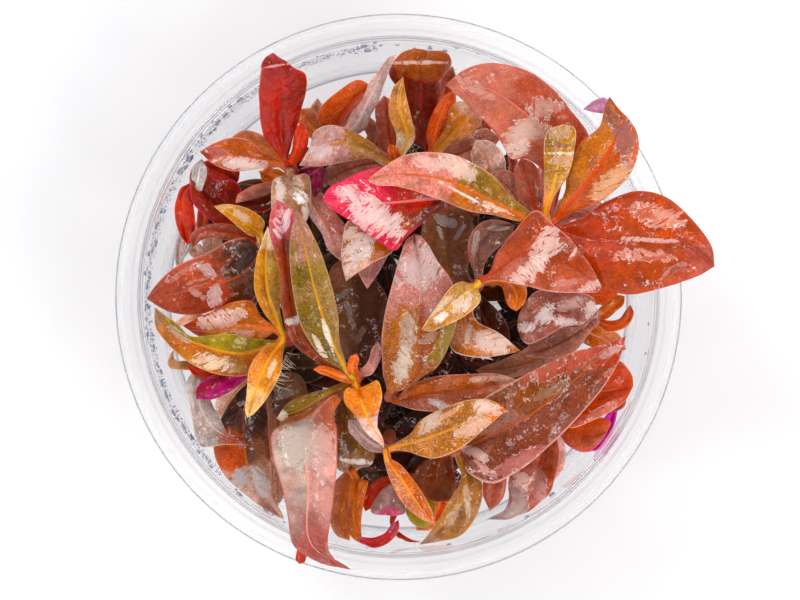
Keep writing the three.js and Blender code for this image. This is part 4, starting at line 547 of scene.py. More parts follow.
        "patches": [(-20.8, 18.4, 3, 0.9, 90, "e4d4c8"), (-18, 19.6, 1.2, 2, 0, "ccaa94"),
                    (-17.2, 17.4, 1.2, 0.9, 0, "fdfbfb"), (-16.4, 14.8, 1.4, 0.5, 90, "d8c4b8")]},
    "leaf_twisted_pale": {"body": "a8701c", "two": "c49468", "tip": "c89a92", "tipFrom": 0.5, "rib": "c88838",
        "edge": "dcbcb4", "flecks": 0.6, "fleck": "b05448", "glint": 0.5,
        "patches": [(-13.6, 25.4, 2.4, 1.3, 20, "dcc4c4"), (-7, 26.4, 2.6, 0.8, 165, "b07830")]},
    "leaf_orange_red_top": {"two": "bc6c60", "body": "d45a24", "rib": "de5848", "edge": "cc7858",
        "flecks": 0.3, "fleck": "c08078"},
    # partly painted light: the low part is darker where it lies in shade, the bent tip lighter where it
    # catches the light, and the pale line along the bend is a painted highlight
    "leaf_folded_top": {"body": "742416", "two": "701c12", "tip": "a45a34", "tipFrom": 0.68, "rib": "8a2c1c",
        "edge": "b04a30", "patches": [(3.8, 41.2, 5.2, 0.35, 0, "ecc8b8")]},
    "crown": {"body": "d8663c", "rib": "e88c50", "edge": "e89880"},
    "rosePale": {"body": "dca29a", "rib": "e0aca0", "edge": "e0b0a8", "glint": 0.3},
    "mauvePale": {"body": "ac8c88", "rib": "c0a098", "edge": "c4aca4", "glint": 0.4},
    "darkWet": {"body": "bc8474", "two": "ac786a", "wax": 0.4, "rib": "844434", "edge": "b08074",
        "glint": 0.6},
    "darkOlive": {"body": "90624a", "two": "7c5444", "wax": 0.4, "rib": "6a4428", "edge": "7e5a48",
        "glint": 0.6,
        "patches": [(8.8, 13.2, 2.6, 0.9, 165, "a8a09e"), (7.4, 11.2, 1.5, 0.4, 110, "b8b0ae"),
                    (10.6, 11.2, 1.2, 0.4, 60, "988c88")]},
    "mauveBrown": {"body": "a47464", "two": "8c6254", "rib": "8a5c54", "edge": "ac847c", "glint": 0.6,
        "patches": [(13.6, 9.4, 2.4, 0.6, 78, "c0aaa2"), (17.2, 12, 1.9, 0.4, 0, "ccbab4")]},
    "orangeSmall": {"body": "cc7244", "rib": "e89068", "edge": "e0987c"},
    "rustPale": {"body": "bc6c3c", "two": "c47848", "rib": "d89070", "edge": "f0d8cc", "glint": 0.3,
        "patches": [(16.4, -8.2, 4.2, 2, 170, "eed0c2"), (12.2, -6.6, 2.6, 0.7, 80, "ecccb8")]},
    "redDeep": {"body": "b87464", "two": "a46454", "rib": "b84c3c", "edge": "b8685a", "glint": 0.2},
    "redBright": {"body": "c4280e", "rib": "d84c30", "edge": "d06048"},
    "tube": {"body": "5c1c14", "two": "e0a090", "rib": "8c3428", "edge": "cc6c5c", "glint": 0.4},
    "rustGlint": {"body": "dcaca4", "two": "b87468", "tip": "dca498", "rib": "c07058", "edge": "e4b4aa",
        "glint": 0.7},
    "amberYoung": {"body": "e0a06c", "tip": "b87c54", "stalk": "ecd8b8", "rib": "e8b04c", "edge": "e8bc80"},
    "redOrange": {"body": "d86c50", "rib": "e0805c", "edge": "e0947c"},
    "oliveBeige": {"body": "bc7648", "two": "cc8c64", "tip": "dcae9c", "rib": "b88030", "edge": "d4ac84",
        "glint": 0.4},
    "brownGlint": {"body": "cca08c", "two": "dcb8a8", "rib": "b87c50", "edge": "dcbcb0", "glint": 0.8},
    "oliveDeep": {"body": "74402c", "rib": "8c5038", "edge": "8c5840", "glint": 0.2},
    "magentaEdge": {"body": "cc6448", "two": "c87460", "rib": "c85a3c", "edge": "e050b4", "sheen": "cc6444"},
    "magenta": {"body": "b04070", "two": "9c2a3c", "rib": "c03078", "edge": "c83c8c"},
    "brownDeep": {"two": "a47460", "body": "a87866", "rib": "84482c", "edge": "a4705c", "glint": 0.4},
    "silver": {"body": "c8988e", "two": "b89c96", "rib": "c0b4b0", "edge": "c8c0bc", "glint": 0.5},
    "greyMauve": {"body": "8c6a64", "two": "a88884", "tip": "c4607c", "rib": "94706c", "edge": "a4807c",
        "glint": 0.4},
    "oliveYellow": {"body": "a08c28", "two": "8c7c20", "rib": "c0a83c", "edge": "d8609c", "sheen": "b0963c"},
    "paleCream": {"body": "b4602c", "two": "b87c60", "tip": "e8b8a4", "rib": "c08460", "edge": "f0d0c4",
        "glint": 0.4,
        "patches": [(-7, 8.2, 3.6, 2, 55, "f8e4da"), (-9, 5.4, 2.2, 0.9, 80, "f0beb2"),
                    (-8.4, 10.8, 1.4, 1, 40, "ecd0c0")]},
    "orangeBrown": {"body": "cc8460", "two": "c08068", "rib": "bc6c38", "edge": "c08058", "glint": 0.2},
    "orangePale": {"body": "dc8a62", "two": "d0744c", "rib": "e8a884", "edge": "e8b8a0", "glint": 0.6},
    "redWine": {"body": "a83020", "two": "98281c", "rib": "b84438", "edge": "b05048"},
    # the deep looks are partly the colour of old leaves and partly painted shade: darker still, so the gaps
    # low between the stems read as deep shade
    "deepOne": {"body": "44221a", "two": "2c120c", "rib": "783c2c", "edge": "80483a", "glint": 0.5,
        "wax": 0.5},
    "deepTwo": {"body": "34261a", "two": "22190e", "rib": "644a2c", "edge": "6c5442", "glint": 0.5,
        "wax": 0.5},
    "deepThree": {"body": "4c2618", "two": "34140c", "rib": "84462a", "edge": "905a40", "glint": 0.5,
        "wax": 0.5},
    "deepFour": {"body": "2a1613", "two": "1a0c0a", "rib": "582c24", "edge": "683e34", "glint": 0.5,
        "wax": 0.5},
    "darkHollow": {"body": "74503c", "two": "523428", "tip": "84584a", "wax": 0.4, "rib": "4c3024",
        "edge": "644634", "glint": 0.7,
        "patches": [(-8.4, -3.4, 2.6, 0.7, 105, "94807a"), (-6.6, -6.4, 2, 0.6, 60, "8c7468"),
                    (-9.6, 0.6, 1.3, 0.5, 30, "8c7870")]},
    "brownHollow": {"body": "7c5420", "two": "68380e", "stalk": "94745c", "tip": "5c3820", "rib": "7c4c20",
        "edge": "80583c", "glint": 0.6,
        "patches": [(-7.4, -29, 3.4, 0.5, 174, "e8dcd4"), (-7, -30.6, 2, 0.4, 12, "dccabc"),
                    (-8.4, -25.6, 1.4, 2.2, 0, "4c3408")]},
    "tanLoop": {"body": "b88a64", "two": "a47850", "rib": "b08058", "edge": "ccaa90"},
    "greyFilm": {"body": "a8a09c", "two": "bab2b0", "rib": "e8e4e0", "ribWide": 0.16, "edge": "d0ccca"},
    "magentaRoll": {"body": "84283c", "two": "9c3c5c", "sheen": "a04858", "rib": "8c3c50", "edge": "c878a8"},
    "brownShade": {"body": "5e4232", "two": "6e4e36", "rib": "54382a", "edge": "6c503c", "wax": 0.5,
        "glint": 0.6, "patches": [(-19.6, -17, 2.2, 0.6, 20, "80705e")]},
    "magentaLip": {"body": "cc3ca8", "two": "b82c84", "rib": "c83c9c", "edge": "dc70c0", "sheen": "e070c4"},
}



def linear(text):  # an sRGB colour as the linear values that a shader takes
    values = [int(text[i:i + 2], 16) / 255 for i in (0, 2, 4)]
    return tuple(v / 12.92 if v <= 0.04045 else ((v + 0.055) / 1.055) ** 2.4 for v in values) + (1.0,)


def addNode(tree, kind, *values, out=None, **settings):  # values go to the open inputs; gives an output
    node = tree.nodes.new("ShaderNode" + kind)
    for key, value in settings.items():
        if key not in node.inputs:
            setattr(node, key, value)
    filled = list(zip([socket for socket in node.inputs if socket.enabled], values))
    filled += [(node.inputs[key], value) for key, value in settings.items() if key in node.inputs]
    for socket, value in filled:
        if isinstance(value, bpy.types.NodeSocket):
            tree.links.new(value, socket)
        else:
            socket.default_value = value
    if out is not None:
        return node.outputs[out]
    return next((socket for socket in node.outputs if socket.enabled), node)


# settings that many nodes share
smooth = {"interpolation_type": "SMOOTHSTEP"}
rgba = {"data_type": "RGBA"}
plus, minus, times, largest, unsigned = ({"operation": name} for name in
                                         ("ADD", "SUBTRACT", "MULTIPLY", "MAXIMUM", "ABSOLUTE"))


def newMaterial(name):
    material = bpy.data.materials.new(name)
    material.use_nodes = True
    material.node_tree.nodes.clear()
    return material, partial(addNode, material.node_tree)


def placeInMm(add):
    return add("VectorMath", add("TexCoord", out="Object"), (1 / mm, 1 / mm, 1 / mm), **times)


blade = {  # sizes in millimetres that every leaf is made with
    "rows": 44, "columns": 20,  # squares from stalk to tip and from margin to margin
    "smallRows": 26, "smallColumns": 12,
    "thickness": 0.34, "stalkThickness": 0.95, "stalkWidth": 1.3, "ribThickness": 0.3, "ribWidth": 0.6,
    "camber": 0.14, "smallCamber": 0.1,  # how far each half bulges, as a share of its width
    "groove": 0.28, "grooveWidth": 0.55,  # the midrib lies in a groove
    "veinSpacing": 2.3, "veinLean": 0.9, "veinHeight": 0.07,  # the blade swells between its side veins
    "veinStretch": 0.38,  # how long the fringes of the painted highlights run along the veins
    "waveLength": 7.5, "waveHeight": 0.45, "waveShift": 1.7, "sideShift": 2.1,  # waves of the two margins
    "crinkleSize": 5.5, "crinkleHeight": 0.5,
    "fullRelief": 5,  # waves and crinkles are full from this half width on
    "crowding": 0.86,  # how much closer the columns stand at the margins
    "fadeIn": 0.12, "fadeOut": 0.14,  # relief fades towards stalk and tip over these shares of the length
    "marginThinning": 0.65,  # a margin is thinner than its blade by this share
    "longestStalk": 4,  # a leaf further than this from any stem gets no run-on into it
}
skin = {  # the finish of every leaf; depths are in metres
    "roughness": 0.42, "ior": 1.45, "gloss": 0.1, "waxShare": 0.55, "waxRoughness": 0.07, "waxIor": 1.5,
    "flesh": 0.1, "fleshDepth": 0.0012, "fleshTint": (1.0, 0.35, 0.2),  # light goes into the leaf a little
    "swell": 0.65, "swellDepth": 0.0005, "relief": 0.35, "reliefDepth": 0.0001,
    "saturation": 1.16, "brightness": 1.16, "blotch": (0.5, 0.4, 0.38, 1), "cell": (0.02, 0.004, 0.003, 1),
    # the last two colours are painted light: the bright rim round a painted highlight, and small painted
    # glints
    "cellsPerMm": 2.2, "chipsPerMm": 0.85, "highlightRim": "f8e8e2", "glint": "f4e2de",
    "wander": 0.5, "veinWander": 0.7,  # how far halves, ends and veins stray from their straight lines
    "calm": 0.55,  # how much of its spots a smooth leaf loses
    "blotchDepth": 0.5, "grainDark": 0.27, "grainLight": 0.3, "cellDepth": 0.2,
    "ribTaper": 1.25,  # the midrib narrows towards a point a little past the tip
    "highlightLeast": 0.6, "rimAt": 0.95,  # how much a painted highlight covers at least, and where its bright painted rim lies
    "clusters": (0.64, 0.12, 0.07),  # where clusters of painted glints begin, how much sooner on a wet leaf, softness
    "raggedness": {"ragged": 1.9, "chips": 0.3, "fringe": 0.8},  # the margin of a painted highlight
    "steps": {  # where a mark begins and where it is full, then what it gives at both
        "halves": (-0.06, 0.06), "stalk": (0.06, -0.12), "blotch": (0.3, 0.7), "grain": (0.3, 0.7),
        "cloud": (0.3, 0.7, 0.68, 1.3), "cell": (0.2, 0.65), "sheen": (0.5, 0.58, 0, 0.25),
        "sheenGrain": (0.32, 0.5), "fleck": (0.5, 0.62), "fleckArea": (0.4, 0.6), "vein": (0.055, 0, 0, 0.19),
        "rib": (1.5, 0.5), "ribEnd": (1.0, 0.75, 0, 0.76), "edge": (0.93, 0.99, 0, 0.7),
        "pits": (0.37, 0.43), "film": (0.3, 0.7, 0.76, 1), "highlightDepth": (1, 0.3, 0, 0.34),
        "highlightEdge": (1.02, 0.98), "rim": (0.06, 0.02, 0, 0.6), "broken": (0.46, 0.56),
        "speck": (0.57, 0.62, 0, 0.8), "curl": (0.02, 0.006, 0, 0.5), "weave": (0.3, 0.7, 0.9, 1.08),
    },
    "usual": {"stalkTo": 0.36, "tipFrom": 0.76, "tipSoft": 0.06, "smooth": 0, "ribWide": 0.27, "wax": 0.8,
              "glint": 0, "patches": []},
    "spots": {  # size in mm, detail, roughness, distortion, own shift, and whether they follow the veins
        "broad": (5, 3, 0.5, 0.4, 0, False), "middle": (1.3, 3, 0.5, 0.6, 0, False),
        "fine": (0.3, 2, 0.5, 0.2, 0, False),
        "grit": (0.33, 2, 0.6, 0.3, 0, False),  # the skin's cells, drawn as coarse as they need to show
        "cloud": (4.2, 3, 0.55, 0.5, 2, False), "swell": (1.9, 2, 0.5, 0.5, 0, False),
        "ragged": (1.9, 4, 0.55, 0.5, 0, True), "fringe": (0.36, 3, 0.62, 0.5, 0, True),
        "pits": (0.62, 4, 0.6, 0.6, 7, True), "broken": (1.6, 2, 0.5, 0.6, 4, False),
        "cluster": (3.6, 2, 0.5, 0.8, 9, False), "speck": (0.9, 5, 0.68, 1.1, 0, False),
        "curl": (1.7, 2, 0.5, 1.4, 0, False),
    },
}


# Living leaf skin, grown: waxy and wet. The eye gets two halves in their own tint, a pale midrib, fine cells,
# a painted sheen, highlights painted where the light lies on the wet skin along the veins, and small painted
# glints.
def leafMaterial(name, look, seed):
    look = {**skin["usual"], "sheen": look.get("edge", look["body"]), **look}
    steps = skin["steps"]
    tints = {key: linear(look.get(key, look["body"])) for key in
             ("body", "two", "stalk", "tip", "sheen", "fleck", "rib", "edge")}
    material, add = newMaterial(name)
    place = placeInMm(add)
    (along, across), (run, away) = [
        add("SeparateXYZ", add("Attribute", attribute_name=key, out="Vector")).node.outputs[:2]
        for key in ("leafPlace", "leafMm")]
    veinRun = add("Math", run, add("Math", away, blade["veinLean"], **times), **minus)
    sided = add("Math", away, add("Math", across, operation="SIGN"), **times)
    alongVeins = add("CombineXYZ", veinRun, add("Math", sided, blade["veinStretch"], **times), seed * 3.1)
    one, other = seed * 17.3 % 50, seed * 7.9 % 50  # each leaf takes its spots from its own place
    spots = {}
    for key, (size, detail, rough, distortion, shift, veined) in skin["spots"].items():
        moved = add("VectorMath", alongVeins if veined else place,
                    (other, one, shift) if shift else (one, other, 0), **plus)
        spots[key] = add("TexNoise", moved, 1 / size, detail, rough, Distortion=distortion)
    wander = add("Math", add("Math", spots["broad"], 0.5, **minus), skin["wander"], **times)

    half = add("MapRange", add("Math", across, wander, **plus), *steps["halves"], **smooth)
    colour = add("Mix", half, tints["body"], tints["two"], **rgba)
    wavy = add("Math", along, wander, **plus)
    for key, at, soft in (("stalk", look["stalkTo"], steps["stalk"]),
                          ("tip", look["tipFrom"], (-look["tipSoft"], look["tipSoft"]))):
        if key in look:
            share = add("MapRange", wavy, at + soft[0], at + soft[1], **smooth)
            colour = add("Mix", share, colour, tints[key], **rgba)
    plain = 1 - look["smooth"] * skin["calm"]  # how strongly the skin's spots show
    blotches = add("MapRange", spots["middle"], *steps["blotch"], 0, skin["blotchDepth"] * plain, **smooth)
    darker = add("Mix", 1.0, colour, skin["blotch"], blend_type="MULTIPLY", **rgba)
    colour = add("Mix", blotches, colour, darker, **rgba)
    tone = add("MapRange", spots["grit"], *steps["grain"], 1 - skin["grainDark"] * plain,
               1 + skin["grainLight"] * plain)
    cloud = add("MapRange", spots["cloud"], *steps["cloud"])
    colour = add("Mix", 1.0, colour, add("Math", tone, cloud, **times), blend_type="MULTIPLY", **rgba)
    cells = add("TexVoronoi", place, skin["cellsPerMm"])
    # painted sheen: broad pale areas, like reflections of the lights, painted into the colour
    sheen = add("Math", add("MapRange", spots["broad"], *steps["sheen"], **smooth),
                add("MapRange", spots["fine"], *steps["sheenGrain"], **smooth), **times)
    colour = add("Mix", sheen, colour, tints["sheen"], **rgba)
    cells = add("MapRange", cells, *steps["cell"], 0, skin["cellDepth"] * plain, **smooth)
    colour = add("Mix", cells, colour, skin["cell"], **rgba)
    if "fleck" in look:
        flecks = add("Math", add("MapRange", spots["fine"], *steps["fleck"], **smooth),
                     add("MapRange", spots["middle"], *steps["fleckArea"], 0, look["flecks"], **smooth),
                     **times)
        colour = add("Mix", flecks, colour, tints["fleck"], **rgba)
    veinCount = add("Math", veinRun, blade["veinSpacing"], operation="DIVIDE")
    veinCount = add("Math", veinCount, add("Math", wander, skin["veinWander"], **times), **plus)
    veins = add("MapRange", add("Math", veinCount, 0.5, operation="PINGPONG"), *steps["vein"], **smooth)
    colour = add("Mix", veins, colour, tints["rib"], **rgba)
    ribWidth = add("Math", add("Math", skin["ribTaper"], along, **minus), look["ribWide"], **times)
    ribReach = add("Math", away, ribWidth, operation="DIVIDE")
    ribMask = add("Math", add("MapRange", ribReach, *steps["rib"], **smooth),
                  add("MapRange", along, *steps["ribEnd"], **smooth), **times)
    colour = add("Mix", ribMask, colour, tints["rib"], **rgba)
    edge = add("MapRange", add("Math", across, **unsigned), *steps["edge"], **smooth)
    colour = add("Mix", edge, colour, tints["edge"], **rgba)
    colour = add("HueSaturation", Color=colour, Saturation=skin["saturation"], Value=skin["brightness"])

    spots["chips"] = add("SeparateColor", add("TexVoronoi", place, skin["chipsPerMm"], out="Color"))
    ragged = 0  # how far the margin of a painted highlight strays, in shares of its size
    for key, strength in skin["raggedness"].items():
        swing = add("Math", add("Math", spots[key], 0.5, **minus), strength, **times)
        ragged = add("Math", ragged, swing, **plus)
    pits = add("MapRange", spots["pits"], *steps["pits"], **smooth)
    film = add("MapRange", spots["fringe"], *steps["film"])
    broken = add("MapRange", spots["broken"], *steps["broken"], **smooth)
    for x, y, halfLength, halfWidth, angle, tint in look["patches"]:  # painted highlights: where the light lies on the wet leaf, painted into its colour; darker patches darken it
        local = add("Mapping", place, (x, y, 0), (0, 0, math.radians(angle)), (halfLength, halfWidth, 1e4),
                    vector_type="TEXTURE")
        reach = add("Math", add("VectorMath", local, operation="LENGTH"), ragged, **plus)
        depth = add("Math", add("MapRange", reach, *steps["highlightDepth"], **smooth), skin["highlightLeast"], **plus)
        depth = add("Math", depth, film, **times)
        mask = add("Math", add("MapRange", reach, *steps["highlightEdge"], **smooth), depth, **times)
        colour = add("Mix", add("Math", mask, pits, **times), colour, linear(tint), **rgba)
        # a bright painted rim of light round the highlight, broken in places
        rim = add("Math", add("Math", reach, skin["rimAt"], **minus), **unsigned)
        rim = add("MapRange", rim, *steps["rim"], **smooth)
        colour = add("Mix", add("Math", rim, broken, **times), colour, linear(skin["highlightRim"]), **rgba)
    if look["glint"]:  # painted glints: clusters of small ragged highlights painted into the colour
        fewest, more, soft = skin["clusters"]
        low = fewest - more * look["glint"]
        clusters = add("MapRange", spots["cluster"], low, low + soft, **smooth)
        curl = add("Math", add("Math", spots["curl"], 0.5, **minus), **unsigned)
        specks = add("Math", add("MapRange", spots["speck"], *steps["speck"], **smooth),
                     add("MapRange", curl, *steps["curl"], **smooth), **largest)
        colour = add("Mix", add("Math", specks, clusters, **times), colour, linear(skin["glint"]), **rgba)
    weave = add("MapRange", spots["fine"], *steps["weave"])
    colour = add("Mix", 1.0, colour, weave, blend_type="MULTIPLY", **rgba)
    swell = add("Bump", Strength=skin["swell"], Distance=skin["swellDepth"], Height=spots["swell"])
    relief = add("Bump", Strength=skin["relief"], Distance=skin["reliefDepth"], Height=spots["fine"],
                 Normal=swell)
    surface = add("BsdfPrincipled", **{
        "Base Color": colour, "Roughness": skin["roughness"], "IOR": skin["ior"],
        "Specular IOR Level": skin["gloss"], "Normal": relief, "Coat Normal": swell,
        "Coat Weight": look["wax"] * skin["waxShare"], "Coat Roughness": skin["waxRoughness"],
        "Coat IOR": skin["waxIor"], "Subsurface Weight": skin["flesh"],
        "Subsurface Scale": skin["fleshDepth"], "Subsurface Radius": skin["fleshTint"]})
    add("OutputMaterial", surface)
    return material


stemSkin = {"low": "7c6a34", "high": "b8452c", "greenTo": 14, "redFrom": 50, "streak": "7a2c1e",
            "spot": "d8906c", "streakSize": 1.4, "stretch": (3, 3, 0.5), "spotSize": 2.2,
            "streakSteps": (0.42, 0.64, 0, 0.5), "spotSteps": (0.55, 0.7, 0, 0.4),
            "relief": 0.4, "reliefDepth": 0.0002, "roughness": 0.4, "wax": 0.5, "waxRoughness": 0.12}


# Fleshy stem, grown: red skin, greener low down, with fine lengthwise streaks under a soft wax.
def stemMaterial():
    s = stemSkin
    material, add = newMaterial("stem_skin")
    place = placeInMm(add)
    height = add("SeparateXYZ", place, out="Z")
    stretched = add("VectorMath", place, s["stretch"], **times)
    streak = add("TexNoise", stretched, 1 / s["streakSize"], 3, 0.5, Distortion=0.3)
    spot = add("TexNoise", place, 1 / s["spotSize"], 2, 0.5)
    colour = add("Mix", add("MapRange", height, s["greenTo"], s["redFrom"], **smooth), linear(s["low"]),
                 linear(s["high"]), **rgba)
    for key, value in (("streak", streak), ("spot", spot)):
        share = add("MapRange", value, *s[key + "Steps"], **smooth)
        colour = add("Mix", share, colour, linear(s[key]), **rgba)
    bump = add("Bump", Strength=s["relief"], Distance=s["reliefDepth"], Height=streak)
    add("OutputMaterial", add("BsdfPrincipled", **{
        "Base Color": colour, "Normal": bump, "Roughness": s["roughness"], "Coat Weight": s["wax"],
        "Coat Roughness": s["waxRoughness"]}))
    return material


# Clear stuff, moulded, set or wet: see-through, with a faint ripple that bends the lights in its surface.
def clearMaterial(name, look, paint=None):
    material, add = newMaterial(name)
    place = placeInMm(add)
    wave = add("TexNoise", place, 1 / look["rippleSize"], 2, 0.5, Distortion=0.5)
    bump = add("Bump", Strength=look["ripple"], Distance=0.0002, Height=wave)
    painted = paint(add, place) if paint else {}
    add("OutputMaterial", add("BsdfPrincipled", **{
        "Normal": bump, "Base Color": linear(look["colour"]), "Roughness": look["roughness"],
        "IOR": look["ior"], "Transmission Weight": 1.0, "Alpha": look["alpha"], **painted}))
    return material


def addObject(name, vertices, faces, material, soft=True):
    mesh = bpy.data.meshes.new(name)
    mesh.from_pydata([tuple(v) for v in np.asarray(vertices) * mm], [], faces)
    work = bmesh.new()
    work.from_mesh(mesh)
    bmesh.ops.recalc_face_normals(work, faces=work.faces)
    work.to_mesh(mesh)
    work.free()
    mesh.polygons.foreach_set("use_smooth", [soft] * len(mesh.polygons))
    mesh.materials.append(material)
    piece = bpy.data.objects.new(name, mesh)
    scene.collection.objects.link(piece)
    return piece


def smoothCurve(points, count):  # points at even distances along a smooth curve through the given ones
    p = np.array(points, float)
    ends = np.vstack([2 * p[:1] - p[1:2], p, 2 * p[-1:] - p[-2:-1]])
    dense = []
    for a, b, c, d in zip(ends, ends[1:], ends[2:], ends[3:]):
        ab, bc, cd = [max(np.linalg.norm(q - r) ** 0.5, 1e-6) for q, r in ((b, a), (c, b), (d, c))]
        leave = ((b - a) / ab - (c - a) / (ab + bc) + (c - b) / bc) * bc
        arrive = ((c - b) / bc - (d - b) / (bc + cd) + (d - c) / cd) * bc
        t = np.linspace(0, 1, 40, endpoint=False)[:, None]
        dense.append(b + leave * t + (3 * (c - b) - 2 * leave - arrive) * t ** 2
                     + (2 * (b - c) + leave + arrive) * t ** 3)
    dense = np.vstack(dense + [p[-1:]])
    gone = np.r_[0, np.cumsum(np.linalg.norm(np.diff(dense, axis=0), axis=1))]
    stops = np.linspace(0, gone[-1], count)
    return np.column_stack([np.interp(stops, gone, dense[:, k]) for k in range(3)])


def turned(angle):  # a level direction and the one to its left
    way = np.array([math.cos(angle), math.sin(angle), 0])
    return way, np.array([-way[1], way[0], 0])


def strandShape(spec):  # a narrow leaf: its margins follow the midrib at half of its width
    if "one" in spec:
        return spec
    rib = smoothCurve(spec["rib"], 101)
    shape = {"rib": spec["rib"], "one": [], "two": []}
    for u in (0.3, 0.6, 0.85):
        i = int(u * 100)
        ahead = rib[i + 1] - rib[i - 1]
        side = np.array([-ahead[1], ahead[0], 0]) / math.hypot(ahead[0], ahead[1])
        half = spec["width"] * (1 - 0.5 * max(0, u - 0.5)) / 2
        shape["one"].append(tuple(rib[i] + side * half))
        shape["two"].append(tuple(rib[i] - side * half))
    return shape


lowLeaf = {"width": 0.23, "rise": 1.6,  # half width as a share of the length, and how far it lifts
           # each point: its share of the length, of the half width and of the rise
           "rib": [(0, 0, 0), (0.35, 0, 1), (0.7, 0, 1.1), (1, 0, 0.6)],
           "margin": [(0.3, 0.8, 1), (0.55, 1, 1.2), (0.82, 0.6, 1)]}


def lowShape(route, height, direction, length):  # an older leaf low on a stem
    stem = smoothCurve(route, 200)
    root = stem[np.argmin(abs(stem[:, 2] - height))]
    out, side = turned(math.radians(direction))
    side = side * length * lowLeaf["width"]

    rise = lowLeaf["rise"]
    shape = {}
    for key, points, sign in (("rib", "rib", 1), ("one", "margin", 1), ("two", "margin", -1)):
        shape[key] = [tuple(root + out * along * length + side * aside * sign + (0, 0, rise * lift))
                      for along, aside, lift in lowLeaf[points]]
    return shape


# Small old leaves low down, past the pairs that the lists give: they fill the depth between the stems, and
# their dark colour is partly painted shade.
undergrowth = {"perShoot": 6, "lowest": 13, "step": 3.8, "turn": 137.5, "shortest": 9.5, "longest": 14.5,
               "reach": 33, "looks": ["deepOne", "deepTwo", "deepThree", "deepFour"]}


def undergrowthOf(route, index):
    stem = smoothCurve(route, 60)
    found = []
    for k in range(undergrowth["perShoot"]):
        height = undergrowth["lowest"] + undergrowth["step"] * k + index % 3
        turn = (undergrowth["turn"] * (k + index * 3)) % 360
        more = undergrowth["longest"] - undergrowth["shortest"]
        length = undergrowth["shortest"] + more * ((k * 3 + index) % 5) / 4
        root = stem[np.argmin(abs(stem[:, 2] - height))]
        for extra in range(0, 360, 60):  # a leaf that would press on the wall is turned inwards
            angle = math.radians(turn + extra)
            tip = root[0] + math.cos(angle) * length, root[1] + math.sin(angle) * length
            if math.hypot(*tip) < undergrowth["reach"]:
                found.append((height, turn + extra, length))
                break
    return found


scraps = [  # small leaves that show between the others: where they pass, their tip, width, look (millimetres)
    ((-21.4, -24, 33), (-21.6, -37.5, 31), 4.2, "brownDeep"),
    ((33.5, -6, 37), (40.4, -9.2, 38), 4.6, "orangePale"), ((17, -30.5, 34), (16.2, -38, 33), 4.8, "redDeep"),
    ((-29, 20.2, 40), (-35.6, 23.6, 41), 5.2, "redWine"), ((30, 16.2, 40), (38.6, 13, 41), 5, "rustGlint"),
    ((-24.6, 22.2, 39), (-19.6, 21.4, 40), 2.6, "orangeSmall"),
    ((35, 0.4, 37), (39.8, -1, 38), 3.6, "redOrange"), ((-38.4, 11, 28), (-39.4, 4.6, 25), 1.8, "silver"),
    ((8.2, 35.5, 38), (9.6, 41, 40), 4, "redDeep"), ((-28, -15.6, 33), (-32.4, -21.4, 32), 4.6, "brownGlint"),
    ((8, -37, 31), (3, -41.4, 30), 4.2, "orangeBrown"), ((-4.6, 27.6, 36), (-5.8, 32.6, 37), 3, "brownDeep"),
    ((-33.6, 7.6, 33), (-38, 9.4, 32), 3.4, "brownGlint"),
    ((11.4, -11, 36), (16.8, -12.8, 36), 4.6, "deepOne"),
    ((-34.6, 15.4, 37), (-35.2, 10.6, 36), 2.2, "magentaEdge"),
    ((-35, -3.6, 33), (-40.6, -5.2, 33), 2.6, "paleCream"),
    ((28, -26, 33), (27.8, -32.4, 32), 3.4, "rustGlint"), ((20, 22.4, 38), (19.2, 26, 39), 3.4, "redDeep"),
    ((25.4, 20, 38), (25.8, 24.4, 39), 3, "rustGlint"),
    ((-14.2, 32.4, 38), (-14.4, 35.4, 39), 3, "brownGlint"),
    ((15.2, 29, 37), (14.4, 32.6, 38), 3.4, "redDeep"),
    ((-35.4, 20.4, 49.4), (-34.8, 24.1, 50), 3.2, "greyFilm"),
    ((-14.2, 22.4, 47), (-14.9, 17.4, 48), 2.4, "magentaRoll"),
    ((7.6, -34.8, 38), (6.4, -40, 38), 3.4, "redOrange"),
    ((-34.2, -13.8, 49), (-37.4, -11.9, 49.4), 1.8, "redBright"),
    ((34, -27, 40), (38.9, -18.6, 42), 2.4, "magentaLip"),
    ((-36.2, 12, 35), (-38.6, 6.4, 33), 1.1, "greyFilm"), ((-1, -41.8, 38), (4, -43.4, 38), 0.9, "redWine"),
]
stemPoints = {name: smoothCurve(shoot["route"], 160) for name, shoot in shoots.items()}


def stemNear(point):  # the closest point on any stem's middle line
    every = np.vstack(list(stemPoints.values()))
    return every[np.argmin(np.linalg.norm(every - point, axis=1))]


